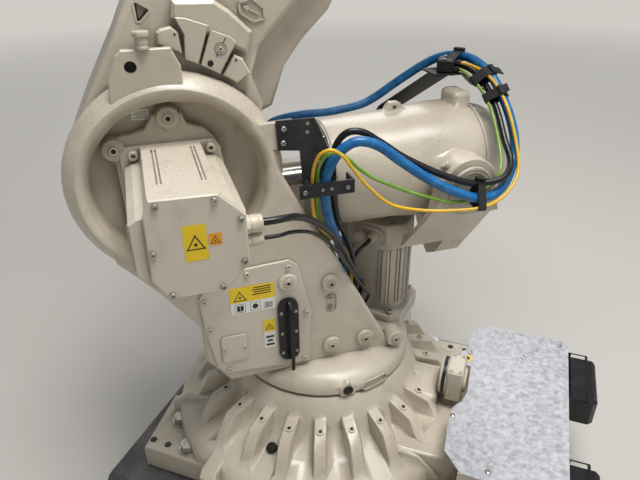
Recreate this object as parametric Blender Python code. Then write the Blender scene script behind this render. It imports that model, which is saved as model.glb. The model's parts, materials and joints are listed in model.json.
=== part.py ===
"""Six-axis industrial robot on a steel plinth plate.

Frame: +Z up, +X towards the front of the turned column, +Y to its left, origin on axis 1 at the
underside of the plinth plate. The base is bolted down BASE_TURN away from the column's heading.
"""
import math

import bmesh
import bpy
from mathutils import Matrix, Vector

GAP = 0.0003                      # seat between touching pieces
RUN = 0.006                       # running clearance of a moving piece

PLATE_T = 0.040                   # plinth plate
PLATE_LENGTH = 0.98
PLATE_WIDTH = 0.84
PLATE_SHIFT = -0.06

BASE_TURN = math.radians(-38.0)
BASE_RADIUS = 0.385               # skirt of the base casting
COLLAR_RADIUS = 0.232
TURN_RADIUS = 0.216               # turntable flange and the top of the collar
COLLAR_TOP = 0.251
TURN_SLIT = 0.003                 # gap that shows round the turntable
BEARING_RADIUS = 0.195            # slewing bearing under the turntable
LUG_COUNT = 24
LUG_RING = 0.266                  # ring of the screws in the lugs
LUG_WIDTH = 0.030
LUG_PHASE = math.radians(3.8)
FOOT_TOP = 0.066
FOOT_X = 0.352
FOOT_Y = 0.334
FOOT_LENGTH = 0.150
FOOT_WIDTH = 0.185

BOX_FRONT = -BASE_RADIUS - 0.007  # connection box, base frame
BOX_REAR = BOX_FRONT - 0.208
BOX_LOW = -0.222
BOX_HIGH = 0.283
BOX_BOTTOM = 0.050
COVER_TOP = 0.228
COVER_T = 0.003

WALL_OUT = 0.140                  # outer face of the column's cheeks
WALL_IN = 0.101
AXIS2_X = 0.320
AXIS2_Z = 0.780
RING_X = AXIS2_X - 0.006          # shoulder ring, cast round axis 2
RING_Z = AXIS2_Z + 0.003
RING_RADIUS = 0.200
RIM = WALL_OUT + 0.003
POCKET_RADIUS = 0.156
POCKET_FLOOR = 0.084
DRUM_RADIUS = 0.168
DRUM_IN = 0.036
DECK_Z = 0.310
LIFT_IN = 0.124
LIFT_OUT = 0.138
STOP_OUT = LIFT_IN - RUN

PIVOT_X = -0.262                  # balancer's axle
PIVOT_Z = 0.718
EAR_IN = 0.142
EAR_OUT = 0.182
EAR_RADIUS = 0.064
YOKE_REAR = -0.345                # cradle of the yoke behind the column
YOKE_FRONT = -0.280
AXLE_RADIUS = 0.030
AXLE_CAP_RADIUS = 0.048

ARM_LENGTH = 1.125
ARM_LEAN = math.radians(-27.0)
ARM_HALF = 0.095
HUB_RADIUS = 0.188
CRANK = 0.120                     # from axis 2 back to the balancer rod's pin
CRANK_ANGLE = math.atan2(AXIS2_Z - PIVOT_Z, AXIS2_X - PIVOT_X)
ROD_RADIUS = 0.020
ROD_LENGTH = 0.330
ROD_EYE = 0.036
PIN_RADIUS = 0.018

ELBOW_HALF = 0.165
FOREARM_RISE = math.radians(68.0)
FOREARM_OFFSET = 0.200
WRIST_X = 1.1425
FLANGE_REACH = 0.200

MOTOR_SIDE = 0.180
MOTOR2_END = 0.366
MOTOR2_REAR = 0.232               # rear side of the shoulder motor, where its glands sit
MOTOR1_X = -0.160
MOTOR1_Y = -0.049
MOTOR1_HALF_X = 0.064
MOTOR1_HALF_Y = 0.088
MOTOR1_TOP = 0.570
LID_T = 0.053
GLAND_LENGTH = 0.030
GLAND2_Y = 0.321
POWER_Z = 0.780
SENSOR_Z = 0.751

SHEET_T = 0.004                   # folded brackets that hold the hoses
SHEET_FACE = WALL_OUT + GAP + SHEET_T
ENTRY_TOP = 0.330

SEGMENTS = 48


def clear_scene():
    for obj in list(bpy.data.objects):
        bpy.data.objects.remove(obj, do_unlink=True)


def paint(name, rgb, roughness, metallic=0.0):
    material = bpy.data.materials.new(name)
    material.use_nodes = True
    shader = material.node_tree.nodes["Principled BSDF"]
    shader.inputs["Base Color"].default_value = (*rgb, 1.0)
    shader.inputs["Roughness"].default_value = roughness
    shader.inputs["Metallic"].default_value = metallic
    material.diffuse_color = (*rgb, 1.0)
    return material


def frame(name, place, parent=None, turn=(0.0, 0.0, 0.0)):
    empty = bpy.data.objects.new(name, None)
    bpy.context.collection.objects.link(empty)
    empty.location = place
    empty.rotation_euler = turn
    empty.parent = parent
    return empty


def finish(name, bm, parent=None, material=None, smooth=True):
    """Turn a bmesh into a named object with its normals pointing out."""
    bmesh.ops.remove_doubles(bm, verts=bm.verts, dist=0.00002)
    bmesh.ops.recalc_face_normals(bm, faces=bm.faces)
    mesh = bpy.data.meshes.new(name)
    bm.to_mesh(mesh)
    bm.free()
    obj = bpy.data.objects.new(name, mesh)
    bpy.context.collection.objects.link(obj)
    obj.parent = parent
    if material:
        mesh.materials.append(material)
    if smooth:
        mesh.shade_smooth()
        mesh.set_sharp_from_angle(angle=math.radians(32.0))
    return obj


def plate(outline, low, high, axis="Y", edge=0.0, steps=2):
    """Extrude a flat outline; on Y the outline is x, z, on Z it is x, y, on X it is y, z."""
    places = {
        "X": lambda a, b, c: (c, a, b),
        "Y": lambda a, b, c: (a, c, b),
        "Z": lambda a, b, c: (a, b, c),
    }
    bm = bmesh.new()
    ring = [bm.verts.new(places[axis](a, b, low)) for a, b in outline]
    face = bm.faces.new(ring)
    grown = bmesh.ops.extrude_face_region(bm, geom=[face])
    top = [v for v in grown["geom"] if isinstance(v, bmesh.types.BMVert)]
    step = Vector(places[axis](0.0, 0.0, high - low))
    bmesh.ops.translate(bm, verts=top, vec=step)
    bmesh.ops.recalc_face_normals(bm, faces=bm.faces)
    if edge:
        rims = [e for e in bm.edges if abs((e.verts[0].co - e.verts[1].co).dot(step)) < 1e-9]
        bmesh.ops.bevel(bm, geom=rims, offset=edge, segments=steps, profile=0.5, affect="EDGES",
                        material=-1)
    return bm


def block(x, y, z, edge=0.0, steps=2):
    """A box from three (low, high) pairs, with all its edges rounded."""
    bm = bmesh.new()
    bmesh.ops.create_cube(bm, size=1.0)
    size = Vector((x[1] - x[0], y[1] - y[0], z[1] - z[0]))
    bmesh.ops.scale(bm, verts=bm.verts, vec=size)
    bmesh.ops.translate(bm, verts=bm.verts, vec=(sum(x) / 2, sum(y) / 2, sum(z) / 2))
    if edge:
        bmesh.ops.bevel(bm, geom=list(bm.edges), offset=edge, segments=steps, profile=0.5,
                        affect="EDGES", material=-1)
    return bm


def turned(profile, axis="Z", centre=(0.0, 0.0, 0.0), segments=SEGMENTS):
    """Spin (radius, height) points that start and end on the axis about that axis."""
    bm = bmesh.new()
    points = [bm.verts.new((radius, 0.0, height)) for radius, height in profile]
    edges = [bm.edges.new(pair) for pair in zip(points, points[1:])]
    bmesh.ops.spin(bm, geom=points + edges, cent=(0, 0, 0), axis=(0, 0, 1), dvec=(0, 0, 0),
                   angle=2 * math.pi, steps=segments, use_merge=True, use_duplicate=False)
    bmesh.ops.remove_doubles(bm, verts=bm.verts, dist=0.00002)
    turns = {
        "X": Matrix.Rotation(math.pi / 2, 3, "Y"),
        "Y": Matrix.Rotation(-math.pi / 2, 3, "X"),
        "Z": Matrix.Identity(3),
    }
    bmesh.ops.rotate(bm, verts=bm.verts, cent=(0, 0, 0), matrix=turns[axis])
    bmesh.ops.translate(bm, verts=bm.verts, vec=centre)
    bmesh.ops.recalc_face_normals(bm, faces=bm.faces)
    return bm


def disc(radius, low, high, axis="Y", centre=(0.0, 0.0, 0.0), edge=0.0, segments=SEGMENTS):
    """A turned disc with a chamfer on both rims."""
    rim = [(radius, low + edge), (radius, high - edge)] if edge else []
    profile = [(0.0, low), (radius - edge, low)] + rim + [(radius - edge, high), (0.0, high)]
    return turned(profile, axis, centre, segments)


def arc(cx, cy, radius, start, end, steps):
    """Points of an arc in degrees, both ends included."""
    angles = [math.radians(start + (end - start) * i / steps) for i in range(steps + 1)]
    return [(cx + radius * math.cos(a), cy + radius * math.sin(a)) for a in angles]


def rounded_box(x, y, radius, steps=5):
    """A rectangle outline with round corners."""
    corners = [(x[1] - radius, y[1] - radius, 0), (x[0] + radius, y[1] - radius, 90),
               (x[0] + radius, y[0] + radius, 180), (x[1] - radius, y[0] + radius, 270)]
    points = []
    for cx, cy, start in corners:
        points += arc(cx, cy, radius, start, start + 90, steps)
    return points


def combine(obj, others, operation):
    """Fuse or cut with the exact solver, one operand after another, and drop the operands."""
    for other in others:
        modifier = obj.modifiers.new(operation.lower(), "BOOLEAN")
        modifier.operation = operation
        modifier.solver = "EXACT"
        modifier.object = other
        bpy.context.view_layer.update()
        graph = bpy.context.evaluated_depsgraph_get()
        mesh = bpy.data.meshes.new_from_object(obj.evaluated_get(graph))
        weld(mesh)
        obj.modifiers.clear()
        obj.data = mesh
        bpy.data.objects.remove(other, do_unlink=True)
    return obj


def weld(mesh):
    """Merge the near-identical corners that a boolean leaves."""
    bm = bmesh.new()
    bm.from_mesh(mesh)
    bmesh.ops.remove_doubles(bm, verts=bm.verts, dist=0.00002)
    bmesh.ops.dissolve_degenerate(bm, edges=bm.edges, dist=0.00002)
    bm.to_mesh(mesh)
    bm.free()


def operand(bm, place=None):
    if place is not None:
        bmesh.ops.transform(bm, matrix=place, verts=bm.verts)
    return finish("operand", bm, smooth=False)


def fuse(obj, *meshes):
    return combine(obj, [operand(bm) for bm in meshes], "UNION")


def carve(obj, *meshes):
    return combine(obj, [operand(bm) for bm in meshes], "DIFFERENCE")


def settle(obj, name, parent, material):
    """Name a finished boolean result, hang it on its frame and shade it."""
    obj.name = name
    obj.data.name = name
    obj.parent = parent
    obj.data.materials.clear()
    obj.data.materials.append(material)
    obj.data.shade_smooth()
    obj.data.set_sharp_from_angle(angle=math.radians(32.0))
    return obj


def tube(name, points, diameter, parent, material, sides=2):
    """A hose on a smooth curve through its own points, written as a polyline with round ends."""
    curve = bpy.data.curves.new(name, "CURVE")
    curve.dimensions = "3D"
    curve.bevel_depth = diameter / 2
    curve.bevel_resolution = sides
    curve.use_fill_caps = True
    smooth = smooth_route([Vector(p) for p in points], diameter * (3.0 if diameter < 0.010 else 2.0))
    spline = curve.splines.new("POLY")
    spline.points.add(len(smooth) - 1)
    for point, place in zip(spline.points, smooth):
        point.co = (*place, 1.0)
    curve.materials.append(material)
    obj = bpy.data.objects.new(name, curve)
    bpy.context.collection.objects.link(obj)
    obj.parent = parent
    return obj


def smooth_route(points, spacing):
    """Catmull-Rom points along the route, about one spacing apart."""
    route = []
    for i in range(len(points) - 1):
        before = points[max(i - 1, 0)]
        start, end = points[i], points[i + 1]
        after = points[min(i + 2, len(points) - 1)]
        count = max(1, round((end - start).length / spacing))
        for k in range(count):
            t = k / count
            pull = (end - before) * t + (before * 2 - start * 5 + end * 4 - after) * t * t
            route.append(start + (pull + (start * 3 - before - end * 3 + after) * t ** 3) / 2)
    return route + [points[-1]]


def plinth(parent, steel):
    """The dark steel plate that the feet are bolted to."""
    half_x, half_y = PLATE_LENGTH / 2, PLATE_WIDTH / 2
    outline = rounded_box((PLATE_SHIFT - half_x, PLATE_SHIFT + half_x), (-half_y, half_y), 0.04)
    finish("plinth_plate", plate(outline, -PLATE_T, -GAP, "Z", 0.003, 1), parent, steel)


def skirt_profile():
    """Section of the base casting from the underside out to the skirt and up to the collar."""
    return [(0.0, 0.0), (BASE_RADIUS, 0.0), (BASE_RADIUS, 0.088), (BASE_RADIUS - 0.006, 0.104),
            (BASE_RADIUS - 0.022, 0.118), (LUG_RING + 0.034, 0.140), (COLLAR_RADIUS + 0.026, 0.158),
            (COLLAR_RADIUS + 0.016, 0.190), (COLLAR_RADIUS, 0.222), (TURN_RADIUS + 0.006, 0.240),
            (TURN_RADIUS, COLLAR_TOP - 0.004), (TURN_RADIUS - 0.004, COLLAR_TOP), (0.0, COLLAR_TOP)]


def lug():
    """One screw lug on the conical skirt, along +X."""
    side = [(0.200, 0.120), (LUG_RING + 0.079, 0.120), (LUG_RING + 0.066, 0.146),
            (LUG_RING + 0.038, 0.192), (LUG_RING - 0.020, 0.209), (0.200, 0.212)]
    half = LUG_WIDTH / 2
    return plate(side, -half, half, "Y", 0.003, 1)


def foot(side_x, side_y):
    """A bolt-down pad between two wedge ribs."""
    outer_x, outer_y = FOOT_X * side_x, FOOT_Y * side_y
    inner_x = (FOOT_X - FOOT_LENGTH) * side_x
    inner_y = (FOOT_Y - FOOT_WIDTH) * side_y
    pad = [(outer_x * 1.08, inner_y), (outer_x, outer_y), (inner_x * 0.7, outer_y),
           (inner_x * 0.5, inner_y)]
    side_rib = [(0.200 * side_x, 0.050), (0.200 * side_x, 0.150), (0.300 * side_x, 0.141),
                (outer_x, 0.092), (outer_x, 0.050)]
    end_rib = [(0.200 * side_y, 0.001), (0.200 * side_y, 0.125), (0.300 * side_y, 0.122),
               (0.378 * side_y, 0.118), (0.392 * side_y, 0.104), (0.392 * side_y, 0.001)]
    return [plate(pad, 0.0, FOOT_TOP, "Z", 0.004, 1),
            plate(side_rib, *sorted((0.178 * side_y, 0.200 * side_y)), "Y", 0.003, 1),
            plate(end_rib, *sorted((0.118 * side_x, 0.158 * side_x)), "X", 0.004, 1)]


def cover_outline():
    """Sheet cover of the connection box, notched round the cable entry of the casting."""
    front = [(-0.007, BOX_LOW - 0.006), (0.032, -0.190), (0.031, -0.112), (0.048, -0.096),
             (0.038, -0.050), (0.016, -0.046), (0.012, 0.048), (0.020, 0.080), (0.037, 0.107),
             (0.039, 0.166), (0.034, 0.236), (-0.006, BOX_HIGH + 0.001)]
    rear = [(BOX_REAR - 0.004, BOX_HIGH + 0.006), (BOX_REAR - 0.004, BOX_LOW - 0.004)]
    return [(BOX_FRONT + x, y) for x, y in front] + rear


def base(parent, cream, steel, black):
    """The base casting with its feet and the ring of screw lugs, and the parts fixed to it."""
    body = finish("base", turned(skirt_profile(), segments=56), smooth=False)
    for side_x in (1, -1):
        for side_y in (1, -1):
            fuse(body, *foot(side_x, side_y))
    rear = block((BOX_FRONT, -0.2), (-0.19, 0.19), (0.0, 0.150), 0.008, 1)
    fuse(body, rear)
    for index in range(LUG_COUNT):
        angle = LUG_PHASE + math.tau * index / LUG_COUNT
        bm = lug()
        bmesh.ops.rotate(bm, verts=bm.verts, cent=(0, 0, 0), matrix=Matrix.Rotation(angle, 3, "Z"))
        fuse(body, bm)
    entry_x = BOX_FRONT + 0.082
    carve(body, block((entry_x - 0.060, entry_x + 0.005), (-0.055, 0.055), (0.155, 0.300)))
    fuse(body, block((entry_x, -0.210), (-0.060, 0.060), (0.002, 0.202), 0.010, 1))
    settle(body, "base_casting", parent, cream)

    entry = finish("entry", disc(0.045, entry_x - 0.018, entry_x - GAP, "X", (0, 0, 0.222), 0.002, 32),
                   smooth=False)
    fuse(entry, block((entry_x - 0.056, entry_x - 0.016), (-0.0375, 0.0375), (0.178, 0.266), 0.004, 1),
         disc(0.030, BOX_FRONT + 0.020, entry_x - 0.054, "X", (0, 0, 0.222), 0.002, 24))
    settle(entry, "cable_entry", parent, cream)

    shell = block((BOX_REAR, BOX_FRONT - GAP), (BOX_LOW, BOX_HIGH), (BOX_BOTTOM, COVER_TOP - COVER_T - GAP))
    finish("connection_box", shell, parent, cream)
    finish("connection_cover", plate(cover_outline(), COVER_TOP - COVER_T, COVER_TOP, "Z"), parent, steel)
    for name, low, high, top in (("power_connector", -0.186, -0.025, 0.222),
                                 ("signal_connector", 0.150, 0.232, 0.200)):
        shape = block((BOX_REAR - 0.070, BOX_REAR - GAP), (low, high), (0.140, top), 0.010, 1)
        finish(name, shape, parent, black)


def cheek_outline(tail):
    """Left and right wall of the column: the shoulder ring run out into the cheek."""
    ring = arc(RING_X, RING_Z, RING_RADIUS - 0.022, -38, 137, 26)
    front = [(0.262, 0.300), (0.288, 0.339), (0.309, 0.366), (0.311, 0.456), (0.377, 0.552),
             (0.410, 0.594), (0.449, 0.640)]
    return ring + [(0.073, 0.681), (-0.007, 0.542)] + tail + front


def ring_profile(grown=0.0):
    """Section of the shoulder ring: a flare that rises from the arm's side to a flat rim."""
    return [(0.0, WALL_IN), (RING_RADIUS + grown, WALL_IN), (RING_RADIUS + grown, WALL_IN + 0.009),
            (RING_RADIUS - 0.006 + grown, 0.126), (RING_RADIUS - 0.018 + grown, RIM - 0.004),
            (RING_RADIUS - 0.024 + grown, RIM + grown), (0.0, RIM + grown)]


def yoke(body):
    """Both ears, the far arm and the cradle under the balancer, fused on the column."""
    far = [(YOKE_REAR, 0.655), (-0.326, 0.722), (PIVOT_X, 0.770), (-0.190, 0.735), (-0.060, 0.690),
           (0.060, 0.690), (0.060, 0.420), (-0.060, 0.440), (-0.175, 0.560), (-0.233, 0.597),
           (YOKE_FRONT, 0.648)]
    near = [(YOKE_REAR, 0.652), (-0.326, 0.722), (PIVOT_X, 0.770), (-0.204, 0.722), (-0.222, 0.665),
            (YOKE_FRONT, 0.648)]
    half = [(EAR_OUT - 0.002, 0.690), (0.153, 0.639), (0.113, 0.582), (0.073, 0.529), (0.040, 0.482)]
    inner = [(EAR_IN + 0.001, 0.692), (EAR_IN + 0.001, 0.650), (0.115, 0.604), (0.085, 0.570),
             (0.050, 0.545)]
    cradle = half + [(0.0, 0.458)] + [(-y, z) for y, z in reversed(half)]
    cradle += [(-y, z) for y, z in inner] + [(0.0, 0.535)] + list(reversed(inner))
    root = block((0.010, 0.050), (0.007 - EAR_OUT, -WALL_IN), (0.440, 0.670), 0.006, 1)
    fuse(body, root, plate(far, -EAR_OUT, -EAR_IN, "Y", 0.005, 1),
         plate(near, EAR_IN, EAR_OUT, "Y", 0.005, 1), plate(cradle, YOKE_REAR + 0.001, YOKE_FRONT, "X"))
    for side in (1, -1):
        low, high = sorted((side * (EAR_IN - 0.001), side * (EAR_OUT + 0.004)))
        fuse(body, disc(EAR_RADIUS, low, high, "Y", (PIVOT_X, 0, PIVOT_Z), 0.003, 40))
    carve(body, disc(AXLE_RADIUS + GAP, -0.3, 0.3, "Y", (PIVOT_X, 0, PIVOT_Z), segments=24))


def column_casting(parent, cream):
    """Turntable, both cheeks, the shoulder drum and the yoke that carries the balancer."""
    slit = COLLAR_TOP + TURN_SLIT
    turntable = [(0.0, COLLAR_TOP + GAP), (BEARING_RADIUS, COLLAR_TOP + GAP),
                 (BEARING_RADIUS, slit), (TURN_RADIUS - 0.004, slit), (TURN_RADIUS, slit + 0.004),
                 (TURN_RADIUS, 0.278), (0.205, 0.292), (0.186, 0.302), (0.150, DECK_Z),
                 (0.0, DECK_Z)]
    body = finish("column", turned(turntable, segments=56), smooth=False)
    left = plate(cheek_outline([(-0.111, 0.339), (-0.132, 0.300)]), WALL_IN, WALL_OUT, "Y", 0.009, 2)
    right = plate(cheek_outline([(-0.058, 0.440), (-0.060, 0.300)]), -WALL_OUT, -WALL_IN, "Y", 0.009, 2)
    core = plate([(-0.010, 0.300), (0.262, 0.300), (0.300, 0.400), (0.302, 0.470), (0.250, 0.540),
                  (0.060, 0.560), (0.000, 0.500)], -0.11, 0.11, "Y")
    stand = operand(motor_outline(0.020, 0.010, 0.022, 0.284, DECK_Z), motor1_place())
    combine(body, [stand], "UNION")
    plug_boss = plate([(-0.008, slit), (0.028, slit), (0.028, 0.274), (0.014, 0.291), (0.006, 0.291),
                       (-0.008, 0.274)], 0.190, TURN_RADIUS + 0.002, "Y")
    fuse(body, core, left, right, plug_boss)

    centre = (RING_X, 0, RING_Z)
    drum = disc(DRUM_RADIUS, DRUM_IN, WALL_OUT - 0.010, "Y", (AXIS2_X, 0, AXIS2_Z), 0.004)
    bearing = disc(0.120, DRUM_IN - RUN + GAP, DRUM_IN + 0.010, "Y", (AXIS2_X, 0, AXIS2_Z), segments=32)
    boss = disc(0.120, -WALL_OUT - 0.018, -WALL_IN, "Y", (AXIS2_X, 0, AXIS2_Z), 0.004, 32)
    fuse(body, drum, bearing, turned(ring_profile(), "Y", centre, 56), boss)
    carve(body, disc(POCKET_RADIUS, POCKET_FLOOR, RIM + 0.05, "Y", centre))

    tab = plate([(0.098, 0.838), (0.150, 0.830), (0.175, 0.880), (0.098, 0.884)],
                LIFT_IN, WALL_OUT, "Y")
    fuse(body, tab)
    yoke(body)
    for x, z in ((0.027, 0.518), (0.025, 0.349), (-0.057, 0.349), (-0.135, 0.327)):
        fuse(body, disc(0.021, 0.112, WALL_OUT + 0.010, "Y", (x, 0, z), 0.003, 20))
    recess = rounded_box((0.012, 0.040), (0.436, 0.490), 0.0135, 3)
    carve(body, plate(recess, WALL_OUT - 0.005, WALL_OUT + 0.02, "Y"))
    settle(body, "column_frame", parent, cream)


def column_parts(parent, cream, black):
    """Covers, handle and lifting bracket on the column's left side."""
    cover = [(0.304, 0.455), (0.310, 0.533), (0.300, 0.548), (0.210, 0.590), (0.119, 0.594),
             (0.100, 0.580), (0.072, 0.456), (0.079, 0.316), (0.270, 0.330), (0.287, 0.352)]
    face = WALL_OUT + 0.006
    lid = finish("lid", plate(cover, WALL_OUT + GAP, face, "Y", 0.002, 1), smooth=False)
    fuse(lid, disc(0.021, WALL_OUT + 0.002, face + 0.006, "Y", (0.123, 0, 0.541), 0.003, 20))
    settle(lid, "column_cover", parent, cream)
    face += GAP
    access = rounded_box((0.219, 0.275), (0.364, 0.432), 0.006, 3)
    finish("access_plate", plate(access, face, face + 0.004, "Y", 0.001, 1), parent, cream)
    grip = finish("grip", plate(rounded_box((0.101, 0.146), (0.316, 0.486), 0.020), face,
                                face + 0.006, "Y", 0.001, 1), smooth=False)
    lever = [(face + 0.004, 0.318), (face + 0.024, 0.302), (face + 0.031, 0.310), (face + 0.034, 0.400),
             (face + 0.030, 0.455), (face + 0.020, 0.474), (face + 0.004, 0.478)]
    fuse(grip, plate(lever, 0.115, 0.127, "X", 0.003, 1))
    settle(grip, "release_handle", parent, black)

    lift = [(0.410, 0.925), (0.404, 0.976), (0.387, 1.016), (0.378, 1.025), (0.299, 1.025),
            (0.286, 0.995), (0.286, 0.955)]
    bracket = finish("lift", plate(lift, LIFT_IN, LIFT_OUT, "Y", 0.002, 1), smooth=False)
    carve(bracket, turned(ring_profile(2 * GAP), "Y", (RING_X, 0, RING_Z), 56))
    carve(bracket, disc(0.010, 0.0, 0.2, "Y", (0.366, 0, 0.998), segments=24))
    settle(bracket, "lifting_bracket", parent, cream)


def motor_body(side, low, high, edge=0.018):
    """Square motor housing with chamfered corners, standing along Z."""
    half = side / 2
    outline = [(half, half - edge), (half - edge, half), (edge - half, half), (-half, half - edge),
               (-half, edge - half), (edge - half, -half), (half - edge, -half), (half, edge - half)]
    return plate(outline, low, high, "Z", 0.003, 1)


def shoulder_drive(parent, cream, cream_plastic):
    """Gear adapter in the pocket and the motor of axis 2 with its end cover and glands."""
    centre = (AXIS2_X, 0, AXIS2_Z)
    adapter = finish("adapter", disc(0.118, POCKET_FLOOR + GAP, 0.116, "Y", centre, 0.003),
                     smooth=False)
    for degrees in (91, 37, 143, -20, 200, 235, 305):
        angle = math.radians(degrees)
        spot = (AXIS2_X + 0.122 * math.cos(angle), 0, AXIS2_Z + 0.122 * math.sin(angle))
        fuse(adapter, disc(0.020, POCKET_FLOOR + 0.001, 0.113, "Y", spot, 0.002, 24))
    settle(adapter, "shoulder_gear_flange", parent, cream)

    block_end = MOTOR2_END - 0.012
    housing = [(0.404, 0.737), (0.404, 0.822), (0.392, 0.830), (0.378, 0.833), (0.372, 0.858),
               (0.268, 0.856), (0.262, 0.833), (0.246, 0.830), (MOTOR2_REAR, 0.820),
               (MOTOR2_REAR, 0.737), (0.262, 0.702), (0.275, 0.694), (0.360, 0.694), (0.384, 0.712)]
    motor = finish("motor", plate(housing, 0.116 + GAP, block_end, "Y", 0.002, 1), smooth=False)
    for x in (0.280, 0.286, 0.347, 0.353):
        carve(motor, block((x, x + 0.003), (0.140, 0.300), (0.853, 0.880)))
    settle(motor, "axis_2_motor", parent, cream)
    cover = [(0.384, 0.730), (0.382, 0.836), (0.371, 0.862), (0.273, 0.859), (0.234, 0.820),
             (0.234, 0.735), (0.273, 0.693), (0.361, 0.693)]
    finish("axis_2_motor_cover", plate(cover, block_end + GAP, MOTOR2_END, "Y", 0.002, 1), parent,
           cream)
    for name, z, radius in (("power_gland", POWER_Z, 0.014), ("sensor_gland", SENSOR_Z, 0.010)):
        gland = disc(radius, MOTOR2_REAR - GLAND_LENGTH, MOTOR2_REAR - GAP, "X", (0, GLAND2_Y, z),
                     0.002, 16)
        finish(name, gland, parent, cream_plastic)


def motor1_place():
    """Where the vertical motor of axis 1 stands, turned an eighth of a turn."""
    return Matrix.Translation((MOTOR1_X, MOTOR1_Y, 0)) @ Matrix.Rotation(math.radians(45), 4, "Z")


def motor_outline(grow_x, grow_y, corner, low, high):
    """Slab in the motor's own frame, larger than its body by grow_x and grow_y."""
    half_x, half_y = MOTOR1_HALF_X + grow_x, MOTOR1_HALF_Y + grow_y
    outline = [(half_x, corner - half_y), (half_x, half_y - corner), (half_x - corner, half_y),
               (corner - half_x, half_y), (-half_x, half_y - corner), (-half_x, corner - half_y),
               (corner - half_x, -half_y), (half_x - corner, -half_y)]
    return plate(outline, low, high, "Z", 0.002, 1)


def turn_drive(parent, cream):
    """The vertical motor of axis 1 behind the column, with the gland plate on its lid."""
    place = motor1_place()
    lid_low = MOTOR1_TOP - LID_T
    flange = operand(motor_outline(0.020, 0.010, 0.022, DECK_Z + GAP, DECK_Z + 0.018), place)
    body = operand(motor_outline(-0.004, -0.004, 0.034, DECK_Z + 0.010, lid_low - GAP), place)
    combine(flange, [body], "UNION")
    settle(flange, "axis_1_motor", parent, cream)
    lid = operand(motor_outline(0.0, 0.0, 0.036, lid_low, MOTOR1_TOP), place)
    settle(lid, "axis_1_motor_lid", parent, cream)

    face = MOTOR1_HALF_X + GAP
    z = lid_low + 0.024
    glands = operand(plate(rounded_box((-0.032, 0.044), (z - 0.021, z + 0.021), 0.0205, 4), face,
                           face + 0.006, "X", 0.001, 1), place)
    for y in (-0.012, 0.020):
        nut = operand(disc(0.0105, face + 0.004, face + GLAND_LENGTH, "X", (0, y, z), 0.002, 16), place)
        combine(glands, [nut], "UNION")
    settle(glands, "axis_1_terminal_box", parent, cream)


def hose_brackets(parent, charcoal):
    """Folded sheet brackets that carry the hoses behind the column."""
    sheet = [(0.132, 0.887), (0.058, 0.886), (0.031, 0.822), (0.031, 0.735), (0.082, 0.735),
             (0.088, 0.826), (0.129, 0.831)]
    finish("hose_plate", plate(sheet, WALL_OUT + GAP, SHEET_FACE, "Y"), parent, charcoal)
    front = SHEET_FACE + 0.024
    clamp = [(0.098, front + SHEET_T), (-0.013, front + SHEET_T), (-0.013, 0.132), (-0.009, 0.132),
             (-0.009, front), (0.0745, front), (0.0745, SHEET_FACE + GAP), (0.081, SHEET_FACE + GAP),
             (0.081, front), (0.098, front)]
    finish("hose_bracket", plate(clamp, 0.738, 0.766, "Z"), parent, charcoal)

    leg, crest = -EAR_OUT - 0.014, 0.9065
    slope = [(leg, 0.640), (leg, 0.790), (-0.062, crest - 0.005), (-0.065, crest - 0.001),
             (leg - SHEET_T, 0.7925), (leg - SHEET_T, 0.640)]
    strap = finish("strap", plate(slope, -0.302, -0.235, "X"), smooth=False)
    lean = Matrix(((1, 0, -0.65, 0.65 * 0.82), (0, 1, 0, 0), (0, 0, 1, 0), (0, 0, 0, 1)))
    strap.data.transform(lean)
    arch = [(-0.268, crest), (-0.330, crest - 0.001), (-0.365, crest - 0.014), (-0.396, crest - 0.044),
            (-0.399, crest - 0.047), (-0.367, crest - 0.018), (-0.331, crest - 0.005),
            (-0.268, crest - SHEET_T)]
    fuse(strap, plate(list(reversed(arch)), -0.078, -0.008, "Y"),
         block((-0.165, -0.125), (leg - 0.001, -EAR_OUT - GAP), (0.650, 0.690)))
    settle(strap, "hose_strap", parent, charcoal)
    head = operand(block((-0.019, 0.019), (-0.025, 0.025), (crest + GAP, crest + 0.028), 0.003, 1),
                   clamp_place())
    settle(head, "hose_clamp", parent, charcoal)
    union = block((0.150, 0.185), (-0.180, -WALL_OUT - GAP), (0.752, 0.792), 0.004, 1)
    finish("hose_union", union, parent, charcoal)
    entry = block((-0.090, -0.016), (0.024, 0.099), (DECK_Z + GAP, ENTRY_TOP), 0.002, 1)
    finish("hose_entry", entry, parent, charcoal)


def clamp_place():
    """Where the clamp on the strap's crest holds the hose ends, turned towards them."""
    return Matrix.Translation((-0.306, -0.035, 0)) @ Matrix.Rotation(math.radians(-35), 4, "Z")


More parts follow.
